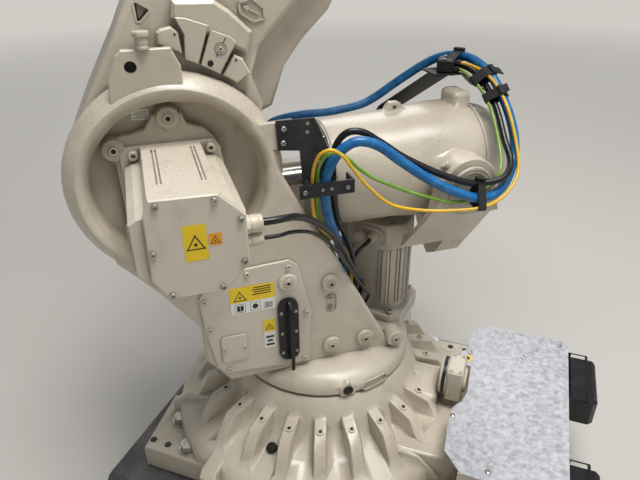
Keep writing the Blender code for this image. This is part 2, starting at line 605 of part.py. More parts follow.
def hoses(parent, blue, black, green, yellow):
    """The bundle from the foot of the column, over its side and the balancer's head, to the clamps."""
    foot = ENTRY_TOP + GAP
    tube("blue_hose", [
        (-0.034, 0.070, foot), (-0.034, 0.070, 0.360), (-0.034, 0.071, 0.420), (-0.030, 0.076, 0.480),
        (-0.020, 0.088, 0.540), (0.000, 0.110, 0.600), (0.022, 0.135, 0.650), (0.038, 0.152, 0.700),
        (0.0435, 0.156, 0.745), (0.037, 0.160, 0.785), (0.017, 0.166, 0.822), (-0.016, 0.172, 0.841),
        (-0.056, 0.178, 0.831), (-0.100, 0.187, 0.798), (-0.155, 0.201, 0.759),
        (-0.210, 0.213, 0.729), (-0.262, 0.221, 0.710), (-0.314, 0.210, 0.712),
        (-0.356, 0.183, 0.738), (-0.3825, 0.150, 0.782), (-0.391, 0.110, 0.828),
        (-0.390, 0.066, 0.871), (-0.3825, 0.022, 0.907), (-0.3655, -0.020, 0.929),
        (-0.346, -0.053, 0.935), (-0.321, -0.080, 0.930), (-0.291, -0.104, 0.911),
        (-0.257, -0.128, 0.882), (-0.222, -0.146, 0.853), (-0.188, -0.156, 0.828),
        (-0.147, -0.157, 0.812), (-0.070, -0.153, 0.804), (0.005, -0.152, 0.804),
        (0.060, -0.155, 0.795), (0.098, -0.159, 0.777), (0.130, -0.159, 0.772),
        (0.150 - GAP, -0.159, 0.772)], 0.020, parent, blue)
    tube("black_hose", [
        (-0.058, 0.078, foot), (-0.058, 0.078, 0.360), (-0.057, 0.079, 0.420), (-0.050, 0.082, 0.490),
        (-0.040, 0.090, 0.550), (-0.018, 0.107, 0.610), (0.006, 0.126, 0.660), (0.016, 0.131, 0.710),
        (0.019, 0.133, 0.760), (0.020, 0.138, 0.800), (0.013, 0.144, 0.834), (-0.006, 0.149, 0.853),
        (-0.033, 0.154, 0.852), (-0.067, 0.159, 0.831), (-0.111, 0.171, 0.800),
        (-0.168, 0.190, 0.770), (-0.217, 0.204, 0.750), (-0.262, 0.211, 0.738),
        (-0.319, 0.2135, 0.744), (-0.353, 0.184, 0.763), (-0.3625, 0.139, 0.795),
        (-0.369, 0.097, 0.834), (-0.372, 0.060, 0.864), (-0.3705, 0.030, 0.885),
        (-0.3645, 0.006, 0.901), (-0.354, -0.012, 0.912), (-0.3402, -0.0258, 0.919),
        (-0.3287, -0.0338, 0.919)], 0.014, parent, black)
    tube("green_hose", [
        (-0.0255, 0.0885, foot), (-0.0255, 0.0885, 0.360), (-0.0245, 0.0905, 0.440),
        (-0.014, 0.094, 0.510), (0.007, 0.096, 0.570), (0.032, 0.120, 0.630), (0.052, 0.143, 0.680),
        (0.0585, 0.155, 0.730), (0.0585, 0.157, 0.772), (0.056, 0.164, 0.800), (0.046, 0.174, 0.821),
        (0.027, 0.181, 0.827), (0.006, 0.185, 0.814), (-0.016, 0.186, 0.792), (-0.045, 0.187, 0.770),
        (-0.075, 0.190, 0.754),
        (-0.110, 0.196, 0.738), (-0.155, 0.207, 0.722), (-0.205, 0.213, 0.706),
        (-0.262, 0.2055, 0.7015), (-0.296, 0.2000, 0.7205), (-0.314, 0.1985, 0.735),
        (-0.326, 0.190, 0.752), (-0.338, 0.168, 0.773), (-0.347, 0.137, 0.800),
        (-0.3535, 0.097, 0.838), (-0.3555, 0.066, 0.862), (-0.352, 0.042, 0.880),
        (-0.344, 0.020, 0.896), (-0.3345, 0.004, 0.907), (-0.3264, -0.0061, 0.914),
        (-0.3149, -0.0141, 0.914)], 0.007, parent, green)
    tube("yellow_hose", [
        (-0.043, 0.0905, foot), (-0.043, 0.0905, 0.360), (-0.043, 0.0905, 0.440),
        (-0.036, 0.0955, 0.520), (-0.022, 0.108, 0.565), (0.001, 0.128, 0.599), (0.030, 0.142, 0.634),
        (0.052, 0.148, 0.660), (0.064, 0.152, 0.690), (0.0685, 0.155, 0.730), (0.0685, 0.158, 0.770),
        (0.0665, 0.167, 0.803), (0.058, 0.179, 0.828), (0.039, 0.188, 0.836), (0.018, 0.193, 0.822),
        (-0.002, 0.194, 0.794), (-0.032, 0.194, 0.756), (-0.079, 0.199, 0.714),
        (-0.138, 0.212, 0.698), (-0.198, 0.228, 0.695), (-0.262, 0.238, 0.697),
        (-0.317, 0.2275, 0.710), (-0.362, 0.201, 0.742), (-0.3765, 0.163, 0.790),
        (-0.3795, 0.120, 0.843), (-0.379, 0.085, 0.874), (-0.3745, 0.052, 0.898),
        (-0.364, 0.026, 0.913), (-0.349, 0.002, 0.922), (-0.3322, -0.0143, 0.926),
        (-0.3207, -0.0223, 0.926)], 0.007, parent, yellow)


def motor_cables(parent, black):
    """Cables of the two visible motors, from their glands down to the foot of the column."""
    foot = ENTRY_TOP + GAP
    tip = MOTOR2_REAR - GLAND_LENGTH - GAP
    tube("power_cable", [
        (tip, GLAND2_Y, POWER_Z), (0.180, GLAND2_Y, POWER_Z), (0.158, 0.313, 0.777),
        (0.135, 0.293, 0.765), (0.106, 0.265, 0.742), (0.067, 0.230, 0.700), (0.027, 0.190, 0.644), (-0.005, 0.155, 0.583),
        (-0.034, 0.122, 0.523), (-0.066, 0.094, 0.475), (-0.072, 0.072, 0.430),
        (-0.064, 0.057, 0.385), (-0.060, 0.055, 0.355), (-0.060, 0.055, foot)], 0.013, parent, black)
    tube("sensor_cable", [
        (tip, GLAND2_Y, SENSOR_Z), (0.175, GLAND2_Y, SENSOR_Z), (0.146, 0.300, 0.742),
        (0.106, 0.268, 0.718), (0.067, 0.234, 0.677), (0.031, 0.198, 0.626), (-0.002, 0.165, 0.570),
        (-0.034, 0.137, 0.515), (-0.066, 0.112, 0.460), (-0.088, 0.085, 0.425),
        (-0.086, 0.066, 0.385), (-0.080, 0.060, 0.355), (-0.080, 0.060, foot)], 0.007, parent, black)
    tube("axis_1_cable", [
        (-0.1069, 0.0324, 0.541), (-0.096, 0.0433, 0.541), (-0.077, 0.0585, 0.540),
        (-0.060, 0.0655, 0.528), (-0.050, 0.065, 0.504), (-0.0485, 0.057, 0.470),
        (-0.054, 0.048, 0.430), (-0.063, 0.041, 0.390), (-0.069, 0.037, 0.355),
        (-0.070, 0.036, foot)], 0.010, parent, black)


def balancer(parent, cream):
    """Spring balancer: a barrel on its trunnions, domed behind and open in front for the rod."""
    profile = [(0.0, -0.210), (0.034, -0.204), (0.064, -0.190), (0.093, -0.160), (0.112, -0.120),
               (0.121, -0.084), (0.1255, -0.078), (0.130, -0.045), (0.130, 0.0), (0.1265, 0.068),
               (0.121, 0.120), (0.1205, 0.200), (0.1165, 0.262), (0.113, 0.264), (0.053, 0.264),
               (0.053, 0.060), (0.0, 0.060)]
    shell = finish("shell", turned(profile, "X"), smooth=False)
    for side in (1, -1):
        low, high = sorted((side * 0.100, side * (EAR_IN - RUN)))
        fuse(shell, disc(0.058, low, high, "Y", (0, 0, 0), 0.002, 32))
    lug = plate([(0.066, 0.115), (0.082, 0.139), (0.088, 0.142), (0.105, 0.142), (0.111, 0.139),
                 (0.127, 0.112)], -0.009, 0.009, "Y", 0.002, 1)
    boss = block((-0.077, -0.033), (-0.034, 0.034), (0.110, 0.156), 0.012, 2)
    fuse(shell, lug, boss)
    carve(shell, disc(AXLE_RADIUS + GAP, EAR_IN - 0.036, EAR_IN + 0.05, "Y", segments=24),
          disc(AXLE_RADIUS + GAP, -EAR_IN - 0.05, -EAR_IN + 0.036, "Y", segments=24),
          disc(0.0045, -0.1, 0.1, "Y", (0.0965, 0, 0.131), segments=12))
    settle(shell, "balancer_shell", parent, cream)


def axles(parent, cream):
    """Stub axles of the balancer with the caps outside the yoke's ears."""
    for name, side in (("balancer_axle_left", 1), ("balancer_axle_right", -1)):
        spans = sorted((side * (EAR_IN - 0.034), side * (EAR_OUT + 0.004 + GAP)))
        pin = finish("pin", disc(AXLE_RADIUS, *spans, "Y", (PIVOT_X, 0, PIVOT_Z), segments=24),
                     smooth=False)
        spans = sorted((side * (EAR_OUT + 0.004 + GAP), side * (EAR_OUT + 0.012)))
        fuse(pin, disc(AXLE_CAP_RADIUS, *spans, "Y", (PIVOT_X, 0, PIVOT_Z), 0.002, 32))
        settle(pin, name, parent, cream)


def balancer_rod(parent, steel):
    """Rod with its eye on the lower arm's pin; it points to the balancer along -X."""
    rod = finish("rod", disc(ROD_EYE, -0.022, 0.022, "Y", (0, 0, 0), 0.003, 32), smooth=False)
    fuse(rod, disc(ROD_RADIUS, -ROD_LENGTH, -0.010, "X", (0, 0, 0), 0.004, 24))
    carve(rod, disc(PIN_RADIUS + 0.001, -0.1, 0.1, "Y", segments=24))
    settle(rod, "balancer_rod", parent, steel)


def lower_arm(parent, cream, steel):
    """Lower arm, upright about axis 2, with the hub, the crank lugs and the elbow eye."""
    outline = arc(0, 0, HUB_RADIUS, 126, 360, 30) + [(0.186, 0.08), (0.178, 0.20), (0.172, 0.70)]
    outline += arc(0, ARM_LENGTH, 0.150, 10, 190, 20)
    outline += [(-0.150, 0.80), (-0.125, 0.50), (-0.090, 0.385), (-0.064, 0.313), (-0.056, 0.286),
                (-0.062, 0.235), (-0.104, 0.193)]
    body = finish("arm", plate(outline, -ARM_HALF, ARM_HALF, "Y", 0.012, 2), smooth=False)
    spine = [(-0.100, 0.150), (-0.020, 0.200), (-0.020, 0.400), (-0.080, 0.820), (-0.150, 0.800),
             (-0.163, 0.500), (-0.160, 0.394), (-0.136, 0.325), (-0.125, 0.268), (-0.134, 0.190)]
    fuse(body, plate(spine, -0.050, 0.050, "Y", 0.008, 1))
    carve(body, plate([(0.164, 0.268), (0.137, 0.266), (0.147, 0.237)], 0.072, 0.110, "Y"))
    bore = disc(DRUM_RADIUS + RUN, DRUM_IN - RUN, 0.2, "Y")
    carve(body, bore)
    crank = Vector((-CRANK * math.cos(CRANK_ANGLE), 0, -CRANK * math.sin(CRANK_ANGLE)))
    reach = crank.x + ROD_EYE + RUN
    slot = [(reach, -0.050), (reach, 0.030), (-0.100, 0.070), (-0.195, 0.310), (-0.400, 0.310),
            (-0.400, -0.300), (-0.020, -0.300)]
    carve(body, plate(slot, -0.028, 0.028))
    carve(body, disc(PIN_RADIUS + GAP, -0.070, 0.029, "Y", crank, segments=24))
    fuse(body, disc(0.090, GAP - ARM_HALF - RUN, ARM_HALF + RUN - GAP, "Y", (0, 0, ARM_LENGTH),
                    segments=32))
    settle(body, "lower_arm", parent, cream)
    pin = disc(PIN_RADIUS, -0.070 + GAP, 0.029 - GAP, "Y", crank, segments=24)
    finish("balancer_rod_pin", pin, parent, steel)


def stops(parent, cream):
    """Stop block with its two face plates on the arm's side, and the buffer on each side of it."""
    face = ARM_HALF + GAP
    bridge = [(-0.035, 0.266), (0.104, 0.268), (0.112, 0.294), (0.050, 0.323), (0.021, 0.319),
              (-0.028, 0.304)]
    stop = finish("stop", plate(bridge, face, STOP_OUT - 0.005, "Y", 0.006, 1), smooth=False)
    front_plate = [(0.038, 0.218), (0.061, 0.216), (0.076, 0.252), (0.100, 0.272), (0.084, 0.278),
                   (0.045, 0.283)]
    rear_plate = [(-0.002, 0.2165), (0.033, 0.218), (0.039, 0.278), (0.006, 0.281), (-0.008, 0.278)]
    fuse(stop, plate(front_plate, face, STOP_OUT - 0.001, "Y", 0.0015, 1),
         plate(rear_plate, face, STOP_OUT, "Y", 0.0015, 1))
    settle(stop, "stop_block", parent, cream)
    front = [(0.068, 0.2225), (0.110, 0.220), (0.118, 0.238), (0.115, 0.244), (0.100, 0.256),
             (0.086, 0.252)]
    rear = [(-0.037, 0.2125), (-0.009, 0.2160), (-0.013, 0.256), (-0.029, 0.256), (-0.052, 0.238)]
    for name, outline in (("stop_buffer_front", front), ("stop_buffer_rear", rear)):
        finish(name, plate(outline, face, STOP_OUT - 0.003, "Y", 0.003, 1), parent, cream)


def elbow(parent, cream):
    """Upper-arm housing forked over the lower arm's eye, with the motors of axes 3 to 6."""
    half = ELBOW_HALF
    side = [(-0.170, -0.060), (-0.120, -0.150), (0.060, -0.165), (0.150, -0.090), (0.260, 0.070),
            (0.270, 0.330), (-0.180, 0.330), (-0.260, 0.280), (-0.260, 0.100)]
    body = finish("elbow", plate(side, -half, half, "Y", 0.014, 2), smooth=False)
    room = disc(0.150 + RUN, -ARM_HALF - RUN, ARM_HALF + RUN, "Y")
    way = block((-0.180, 0.164), (-ARM_HALF - RUN, ARM_HALF + RUN), (-0.50, 0.0))
    turn = Matrix.Rotation(FOREARM_RISE + ARM_LEAN, 3, "Y")
    bmesh.ops.rotate(way, verts=way.verts, cent=(0, 0, 0), matrix=turn)
    carve(body, room, way)
    settle(body, "elbow_housing", parent, cream)
    cap = disc(0.105, half + GAP, half + 0.020, "Y", (0, 0, 0), 0.004)
    finish("elbow_bearing_cap", cap, parent, cream)
    flange = disc(0.120, -half - 0.030, -half - GAP, "Y", (0, 0, 0), 0.004)
    finish("elbow_gear_flange", flange, parent, cream)
    motor = finish("motor", motor_body(MOTOR_SIDE, 0.0, 0.250), smooth=False)
    motor.data.transform(Matrix.Translation((0, -half - 0.030 - GAP, 0))
                         @ Matrix.Rotation(math.pi / 2, 4, "X"))
    settle(motor, "axis_3_motor", parent, cream)
    for name, y, length in (("axis_4_motor", 0.088, 0.20), ("axis_5_motor", -0.088, 0.20)):
        motor = finish("motor", motor_body(0.130, 0.0, length), smooth=False)
        motor.data.transform(Matrix.Translation((-0.260 - GAP, y, 0.19))
                             @ Matrix.Rotation(-math.pi / 2, 4, "Y"))
        settle(motor, name, parent, cream)


def forearm(parent, cream, steel):
    """Forearm tube, wrist housing and tool flange."""
    z = FOREARM_OFFSET
    tube_profile = [(0.0, 0.270 + GAP), (0.118, 0.270 + GAP), (0.122, 0.276), (0.122, 0.330),
                    (0.112, 0.350), (0.098, 0.800), (0.094, 0.940), (0.086, 0.950), (0.0, 0.950)]
    body = finish("forearm", turned(tube_profile, "X", (0, 0, z), 40), smooth=False)
    fork = plate([(0.900, z - 0.080), (0.900, z + 0.080)] + arc(WRIST_X, z, 0.085, 90, -90, 16),
                 -0.110, 0.110, "Y", 0.008)
    fuse(body, fork)
    carve(body, block((WRIST_X - 0.090, WRIST_X + 0.2), (-0.060 - GAP, 0.060 + GAP), (z - 0.2, z + 0.2)))
    settle(body, "forearm", parent, cream)
    wrist = finish("wrist", disc(0.080, -0.060, 0.060, "Y", (WRIST_X, 0, z), 0.006, 32), smooth=False)
    fuse(wrist, disc(0.058, WRIST_X, WRIST_X + FLANGE_REACH - 0.040, "X", (0, 0, z), 0.004, 32))
    settle(wrist, "wrist", parent, cream)
    start = WRIST_X + FLANGE_REACH - 0.040 + GAP
    flange = disc(0.080, start, start + 0.040, "X", (0, 0, z), 0.003, 32)
    finish("tool_flange", flange, parent, steel)


def build():
    clear_scene()
    cream = paint("graphite_white_paint", (0.62, 0.58, 0.50), 0.42)
    cream_plastic = paint("cream_plastic", (0.70, 0.68, 0.62), 0.45)
    steel = paint("galvanised_steel", (0.50, 0.50, 0.50), 0.40, 0.9)
    charcoal = paint("charcoal_paint", (0.055, 0.058, 0.062), 0.50)
    black = paint("black_plastic", (0.015, 0.015, 0.016), 0.40)
    blue_hose = paint("blue_hose_plastic", (0.02, 0.12, 0.42), 0.45)
    black_hose = paint("black_hose_plastic", (0.02, 0.02, 0.021), 0.50)
    green_hose = paint("green_hose_plastic", (0.04, 0.30, 0.14), 0.40)
    yellow_hose = paint("yellow_hose_plastic", (0.65, 0.52, 0.10), 0.40)

    robot = frame("robot", (0, 0, PLATE_T))
    base_frame = frame("base_frame", (0, 0, 0), robot, (0, 0, BASE_TURN))
    plinth(base_frame, charcoal)
    base(base_frame, cream, steel, black)

    column = frame("axis_1", (0, 0, 0), robot)
    column_casting(column, cream)
    column_parts(column, cream, black)
    shoulder_drive(column, cream, cream_plastic)
    turn_drive(column, cream)
    hose_brackets(column, charcoal)
    hoses(column, blue_hose, black_hose, green_hose, yellow_hose)
    motor_cables(column, black_hose)
    axles(column, cream)

    pin_x = CRANK * math.cos(CRANK_ANGLE)
    pin_z = CRANK * math.sin(CRANK_ANGLE)
    lean = Matrix.Rotation(ARM_LEAN, 3, "Y")
    pin = Vector((AXIS2_X, 0, AXIS2_Z)) + lean @ Vector((-pin_x, 0, -pin_z))
    pitch = math.atan2(pin.z - PIVOT_Z, pin.x - PIVOT_X)
    swing = frame("balancer_pivot", (PIVOT_X, 0, PIVOT_Z), column, (0, -pitch, 0))
    balancer(swing, cream)
    rod = frame("rod_pin", pin, column, (0, -pitch, 0))
    balancer_rod(rod, steel)

    arm = frame("axis_2", (AXIS2_X, 0, AXIS2_Z), column, (0, ARM_LEAN, 0))
    lower_arm(arm, cream, steel)
    stops(arm, cream)
    upper = frame("axis_3", (0, 0, ARM_LENGTH), arm, (0, -ARM_LEAN - FOREARM_RISE, 0))
    elbow(upper, cream)
    forearm(upper, cream, steel)


build()
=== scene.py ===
"""Looks of the six-axis industrial robot: paint, metal, plastic, labels and hoses on its frame."""
import json
import math

import bmesh
import bpy
from mathutils import Matrix, Vector


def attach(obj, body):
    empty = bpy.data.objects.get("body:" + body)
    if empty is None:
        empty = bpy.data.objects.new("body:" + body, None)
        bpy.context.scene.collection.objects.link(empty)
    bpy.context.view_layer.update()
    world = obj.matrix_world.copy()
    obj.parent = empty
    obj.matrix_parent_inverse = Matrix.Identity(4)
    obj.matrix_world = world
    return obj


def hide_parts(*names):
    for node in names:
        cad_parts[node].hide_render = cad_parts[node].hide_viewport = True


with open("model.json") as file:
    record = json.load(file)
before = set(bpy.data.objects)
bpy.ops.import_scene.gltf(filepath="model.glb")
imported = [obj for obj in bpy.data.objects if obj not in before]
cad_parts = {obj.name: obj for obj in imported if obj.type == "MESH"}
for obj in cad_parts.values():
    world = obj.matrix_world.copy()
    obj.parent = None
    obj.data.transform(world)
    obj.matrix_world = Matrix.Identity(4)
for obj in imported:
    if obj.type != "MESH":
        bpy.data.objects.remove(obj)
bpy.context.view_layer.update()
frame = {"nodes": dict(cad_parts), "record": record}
nodes = frame["nodes"]
scene = bpy.context.scene
scene.view_settings.view_transform = "Standard"


# Camera: the photograph's own viewpoint, from the robot's left and in front, looking down on it.
# The picture is taken as 640 x 480, and the lens follows from the machine's known edges.
IMAGE_WIDTH = 640.0  # pixels
FOCAL_LENGTH = 570.861  # pixels
SENSOR_WIDTH = 36.0  # millimetres
VIEWPOINT = (0.357, 1.128, 1.237)
YAW, PITCH, ROLL = (math.radians(a) for a in (17.309, 28.911, 0.611))
ahead = Vector((-math.sin(YAW) * math.cos(PITCH), -math.cos(YAW) * math.cos(PITCH), -math.sin(PITCH)))
across = ahead.cross(Vector((0, 0, 1))).normalized()
upward = across.cross(ahead)
right = across * math.cos(ROLL) - upward * math.sin(ROLL)
top = upward * math.cos(ROLL) + across * math.sin(ROLL)
camera = bpy.data.objects.new("photo_view", bpy.data.cameras.new("photo_view"))
scene.collection.objects.link(camera)
camera.data.sensor_width = SENSOR_WIDTH
camera.data.lens = FOCAL_LENGTH * SENSOR_WIDTH / IMAGE_WIDTH
camera.matrix_world = Matrix.Translation(VIEWPOINT) @ Matrix((right, top, -ahead)).transposed().to_4x4()
scene.camera = camera


def add_node(material, kind, settings=None, links=None):
    """Add one shader node, set its fields and sockets, and link its inputs from other nodes' outputs."""
    tree = material.node_tree
    node = tree.nodes.new(kind)
    for field, value in (settings or {}).items():
        if isinstance(field, int) or field in node.inputs:
            node.inputs[field].default_value = value
        else:
            setattr(node, field, value)
    for socket, (source, output) in (links or {}).items():
        tree.links.new(source.outputs[output], node.inputs[socket])
    return node


def srgb(code):
    """Turn a hex colour into the linear values that a shader takes."""
    parts = [int(code[i:i + 2], 16) / 255 for i in (1, 3, 5)]
    return tuple(c / 12.92 if c <= 0.04045 else ((c + 0.055) / 1.055) ** 2.4 for c in parts) + (1.0,)


def connect(material, source, node, socket):
    """Link a (node, output) pair to a socket of another node."""
    material.node_tree.links.new(source[0].outputs[source[1]], node.inputs[socket])


def new_material(name, colour, roughness=0.5, metallic=0.0):
    """A material with its shader set to plain values, which the node tree then varies."""
    material = bpy.data.materials.new(name)
    material.use_nodes = True
    shader = material.node_tree.nodes["Principled BSDF"]
    shader.inputs["Base Color"].default_value = srgb(colour)
    shader.inputs["Roughness"].default_value = roughness
    shader.inputs["Metallic"].default_value = metallic
    return material, shader


def noise(material, scale, detail=3.0, roughness=0.5, stretch=(1.0, 1.0, 1.0)):
    """Noise in real metres as (node, output): scale is patches a metre, stretch speeds up an axis."""
    where = add_node(material, "ShaderNodeTexCoord")
    spread = add_node(material, "ShaderNodeMapping", {"Scale": stretch}, {"Vector": (where, "Object")})
    return add_node(
        material, "ShaderNodeTexNoise", {"Scale": scale, "Detail": detail, "Roughness": roughness},
        {"Vector": (spread, 0)}), 0


def limits(material, source, low, high, start=0.0, end=1.0):
    """Stretch an output from low..high to start..end, held at both ends."""
    return add_node(
        material, "ShaderNodeMapRange", {"From Min": low, "From Max": high, "To Min": start,
        "To Max": end}, {"Value": source}), 0


def product(material, first, second):
    """Multiply two outputs."""
    return add_node(material, "ShaderNodeMath", {"operation": "MULTIPLY"}, {0: first, 1: second}), 0


def blend_colour(material, factor, first, second):
    """Mix two colours by a factor; each is a hex code or a (node, output) pair."""
    mix = add_node(material, "ShaderNodeMix", {"data_type": "RGBA"}, {0: factor})
    for socket, colour in ((6, first), (7, second)):
        if isinstance(colour, str):
            mix.inputs[socket].default_value = srgb(colour)
        else:
            connect(material, colour, mix, socket)
    return mix, 2


def bump(material, shader, source, strength, depth):
    """Give a shader relief of a real depth in metres."""
    relief = add_node(
        material, "ShaderNodeBump", {"Strength": strength, "Distance": depth}, {"Height": source})
    connect(material, (relief, "Normal"), shader, "Normal")


# Hoses and cables of the column: the dressed bundle that the photograph shows, each at its real
# thickness on one smooth route, from the foot of the column to its clamp, union or gland.
# The routes are the part's own, in millimetres above the underside of the base casting.
PLINTH = 0.04
UP = Matrix.Translation((0, 0, PLINTH))
HOSE_STEP = 0.007
STRAP_STEP = 0.004
routes = {
    "blue_hose": [
        (-34, 70, 330.3), (-34, 70, 360), (-34, 71, 420), (-30, 76, 480), (-20, 88, 540), (0, 110, 600),
        (22, 135, 650), (38, 152, 700), (43.5, 156, 745), (37, 160, 785), (17, 166, 822),
        (-16, 172, 841), (-56, 178, 831), (-100, 187, 798), (-155, 201, 759), (-210, 213, 729),
        (-262, 221, 710), (-314, 210, 712), (-356, 183, 738), (-382.5, 150, 782), (-391, 110, 828),
        (-390, 66, 871), (-382.5, 22, 907), (-365.5, -20, 929), (-346, -53, 935), (-321, -80, 930),
        (-291, -104, 911), (-257, -128, 882), (-222, -146, 853), (-188, -156, 828), (-147, -157, 812),
        (-70, -153, 804), (5, -152, 804), (60, -155, 795), (98, -159, 777), (130, -159, 772),
        (149.7, -159, 772)],
    "black_hose": [
        (-58, 78, 330.3), (-58, 78, 360), (-57, 79, 420), (-50, 82, 490), (-40, 90, 550),
        (-18, 107, 610), (6, 126, 660), (16, 131, 710), (19, 133, 760), (20, 138, 800), (13, 144, 834),
        (-6, 149, 853), (-33, 154, 852), (-67, 159, 831), (-111, 171, 800), (-168, 190, 770),
        (-217, 204, 750), (-262, 211, 738), (-319, 213.5, 744), (-353, 184, 763), (-362.5, 139, 795),
        (-369, 97, 834), (-372, 60, 864), (-370.5, 30, 885), (-364.5, 6, 901), (-354, -12, 912),
        (-340.2, -25.8, 919), (-328.7, -33.8, 919)],
    "green_hose": [
        (-25.5, 88.5, 330.3), (-25.5, 88.5, 360), (-24.5, 90.5, 440), (-14, 94, 510), (7, 96, 570),
        (32, 120, 630), (52, 143, 680), (58.5, 155, 730), (58.5, 157, 772), (56, 164, 800),
        (46, 174, 821), (27, 181, 827), (6, 185, 814), (-16, 186, 792), (-45, 187, 770),
        (-75, 190, 754), (-110, 196, 738), (-155, 207, 722), (-205, 213, 706), (-262, 205.5, 701.5),
        (-296, 200, 720.5), (-314, 198.5, 735), (-326, 190, 752), (-338, 168, 773), (-347, 137, 800),
        (-353.5, 97, 838), (-355.5, 66, 862), (-352, 42, 880), (-344, 20, 896), (-334.5, 4, 907),
        (-326.4, -6.1, 914), (-314.9, -14.1, 914)],
    "yellow_hose": [
        (-43, 90.5, 330.3), (-43, 90.5, 360), (-43, 90.5, 440), (-36, 95.5, 520), (-22, 108, 565),
        (1, 128, 599), (30, 142, 634), (52, 148, 660), (64, 152, 690), (68.5, 155, 730),
        (68.5, 158, 770), (66.5, 167, 803), (58, 179, 828), (39, 188, 836), (18, 193, 822),
        (-2, 194, 794), (-32, 194, 756), (-79, 199, 714), (-138, 212, 698), (-198, 228, 695),
        (-262, 238, 697), (-317, 227.5, 710), (-362, 201, 742), (-376.5, 163, 790), (-379.5, 120, 843),
        (-379, 85, 874), (-374.5, 52, 898), (-364, 26, 913), (-349, 2, 922), (-332.2, -14.3, 926),
        (-320.7, -22.3, 926)],
    "power_cable": [
        (201.7, 321, 780), (180, 321, 780), (158, 313, 777), (135, 293, 765), (106, 265, 742),
        (67, 230, 700), (27, 190, 644), (-5, 155, 583), (-34, 122, 523), (-66, 94, 475), (-72, 72, 430),
        (-64, 57, 385), (-60, 55, 355), (-60, 55, 330.3)],
    "sensor_cable": [
        (201.7, 321, 751), (175, 321, 751), (146, 300, 742), (106, 268, 718), (67, 234, 677),
        (31, 198, 626), (-2, 165, 570), (-34, 137, 515), (-66, 112, 460), (-88, 85, 425),
        (-86, 66, 385), (-80, 60, 355), (-80, 60, 330.3)],
    "axis_1_cable": [
        (-106.9, 32.4, 541), (-96, 43.3, 541), (-77, 58.5, 540), (-60, 65.5, 528), (-50, 65, 504),
        (-48.5, 57, 470), (-54, 48, 430), (-63, 41, 390), (-69, 37, 355), (-70, 36, 330.3)],
}

# A hose's skin gives the eye a soft sheen, fine extrusion grain and a film of shop dust in patches.
hose_skins = {}
for colour, name, clean, dusty in (("blue", "blue_pneumatic_hose", "#0A629E", "#2C7EB2"),
                                   ("black", "black_rubber_hose", "#0C0D0E", "#1D1D1F"),
                                   ("green", "green_air_hose", "#6F9A2C", "#93AC58"),
                                   ("yellow", "yellow_air_hose", "#E4B41C", "#CFAE55")):
    skin, shader = new_material(name, clean)
    film = limits(skin, noise(skin, 45.0, 4.0), 0.45, 0.75)
    connect(skin, blend_colour(skin, film, clean, dusty), shader, "Base Color")
    sheen = limits(skin, noise(skin, 160.0), 0.3, 0.7, 0.22, 0.42)
    connect(skin, sheen, shader, "Roughness")
    bump(skin, shader, noise(skin, 900.0, 2.0), 0.25, 0.0003)
    hose_skins[colour] = skin


routes = {name: [Vector(point) / 1000 for point in points] for name, points in routes.items()}


def smooth_route(points, spacing):
    """Catmull-Rom points along the route, about one spacing apart."""
    route = []
    for i in range(len(points) - 1):
        before = points[max(i - 1, 0)]
        start, end = points[i], points[i + 1]
        after = points[min(i + 2, len(points) - 1)]
        count = max(1, round((end - start).length / spacing))
        for k in range(count):
            t = k / count
            pull = (end - before) * t + (before * 2 - start * 5 + end * 4 - after) * t * t
            route.append(start + (pull + (start * 3 - before - end * 3 + after) * t ** 3) / 2)
    return route + [points[-1]]


def run_hose(name, diameter, skin, body):
    """A hose or cable as a curve of its real thickness along its own route, riding on a body in place of
    its part.
    """
    route = smooth_route([UP @ point for point in routes[name]], HOSE_STEP)
    curve = bpy.data.curves.new(name + "_run", "CURVE")
    curve.dimensions = "3D"
    curve.bevel_depth = diameter / 2
    curve.bevel_resolution = 5
    curve.use_fill_caps = True
    spline = curve.splines.new("POLY")
    spline.points.add(len(route) - 1)
    for point, place in zip(spline.points, route):
        point.co = (*place, 1.0)
    spline.use_smooth = True
    curve.materials.append(skin)
    hose = bpy.data.objects.new(name + "_run", curve)
    scene.collection.objects.link(hose)
    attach(hose, body)
    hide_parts(name)


for name, diameter, skin, slot_name, stiffness in (
        ("blue_hose", 0.02, hose_skins["blue"], "blue_hose_plastic", "stiff"),
        ("black_hose", 0.014, hose_skins["black"], "black_hose_plastic", "stiff"),
        ("green_hose", 0.007, hose_skins["green"], "green_hose_plastic", "medium"),
        ("yellow_hose", 0.007, hose_skins["yellow"], "yellow_hose_plastic", "medium"),
        ("power_cable", 0.013, hose_skins["black"], "black_hose_plastic", "stiff"),
        ("sensor_cable", 0.007, hose_skins["black"], "black_hose_plastic", "medium"),
        ("axis_1_cable", 0.01, hose_skins["black"], "black_hose_plastic", "medium")):
    run_hose(name, diameter, skin, "column")


# Floor and light: a plain pale studio, so that the paint shows as it is.
FLOOR_HALF = 60.0
FADE_START, FADE_END = 1.8, 8.0
sheet = bmesh.new()
bmesh.ops.create_grid(sheet, x_segments=1, y_segments=1, size=FLOOR_HALF)
floor_mesh = bpy.data.meshes.new("floor")
sheet.to_mesh(floor_mesh)
sheet.free()
floor = bpy.data.objects.new("floor", floor_mesh)
scene.collection.objects.link(floor)
floor_paint, shader = new_material("pale_studio_floor", "#BDB9B2", 0.8)
floor_mesh.materials.append(floor_paint)
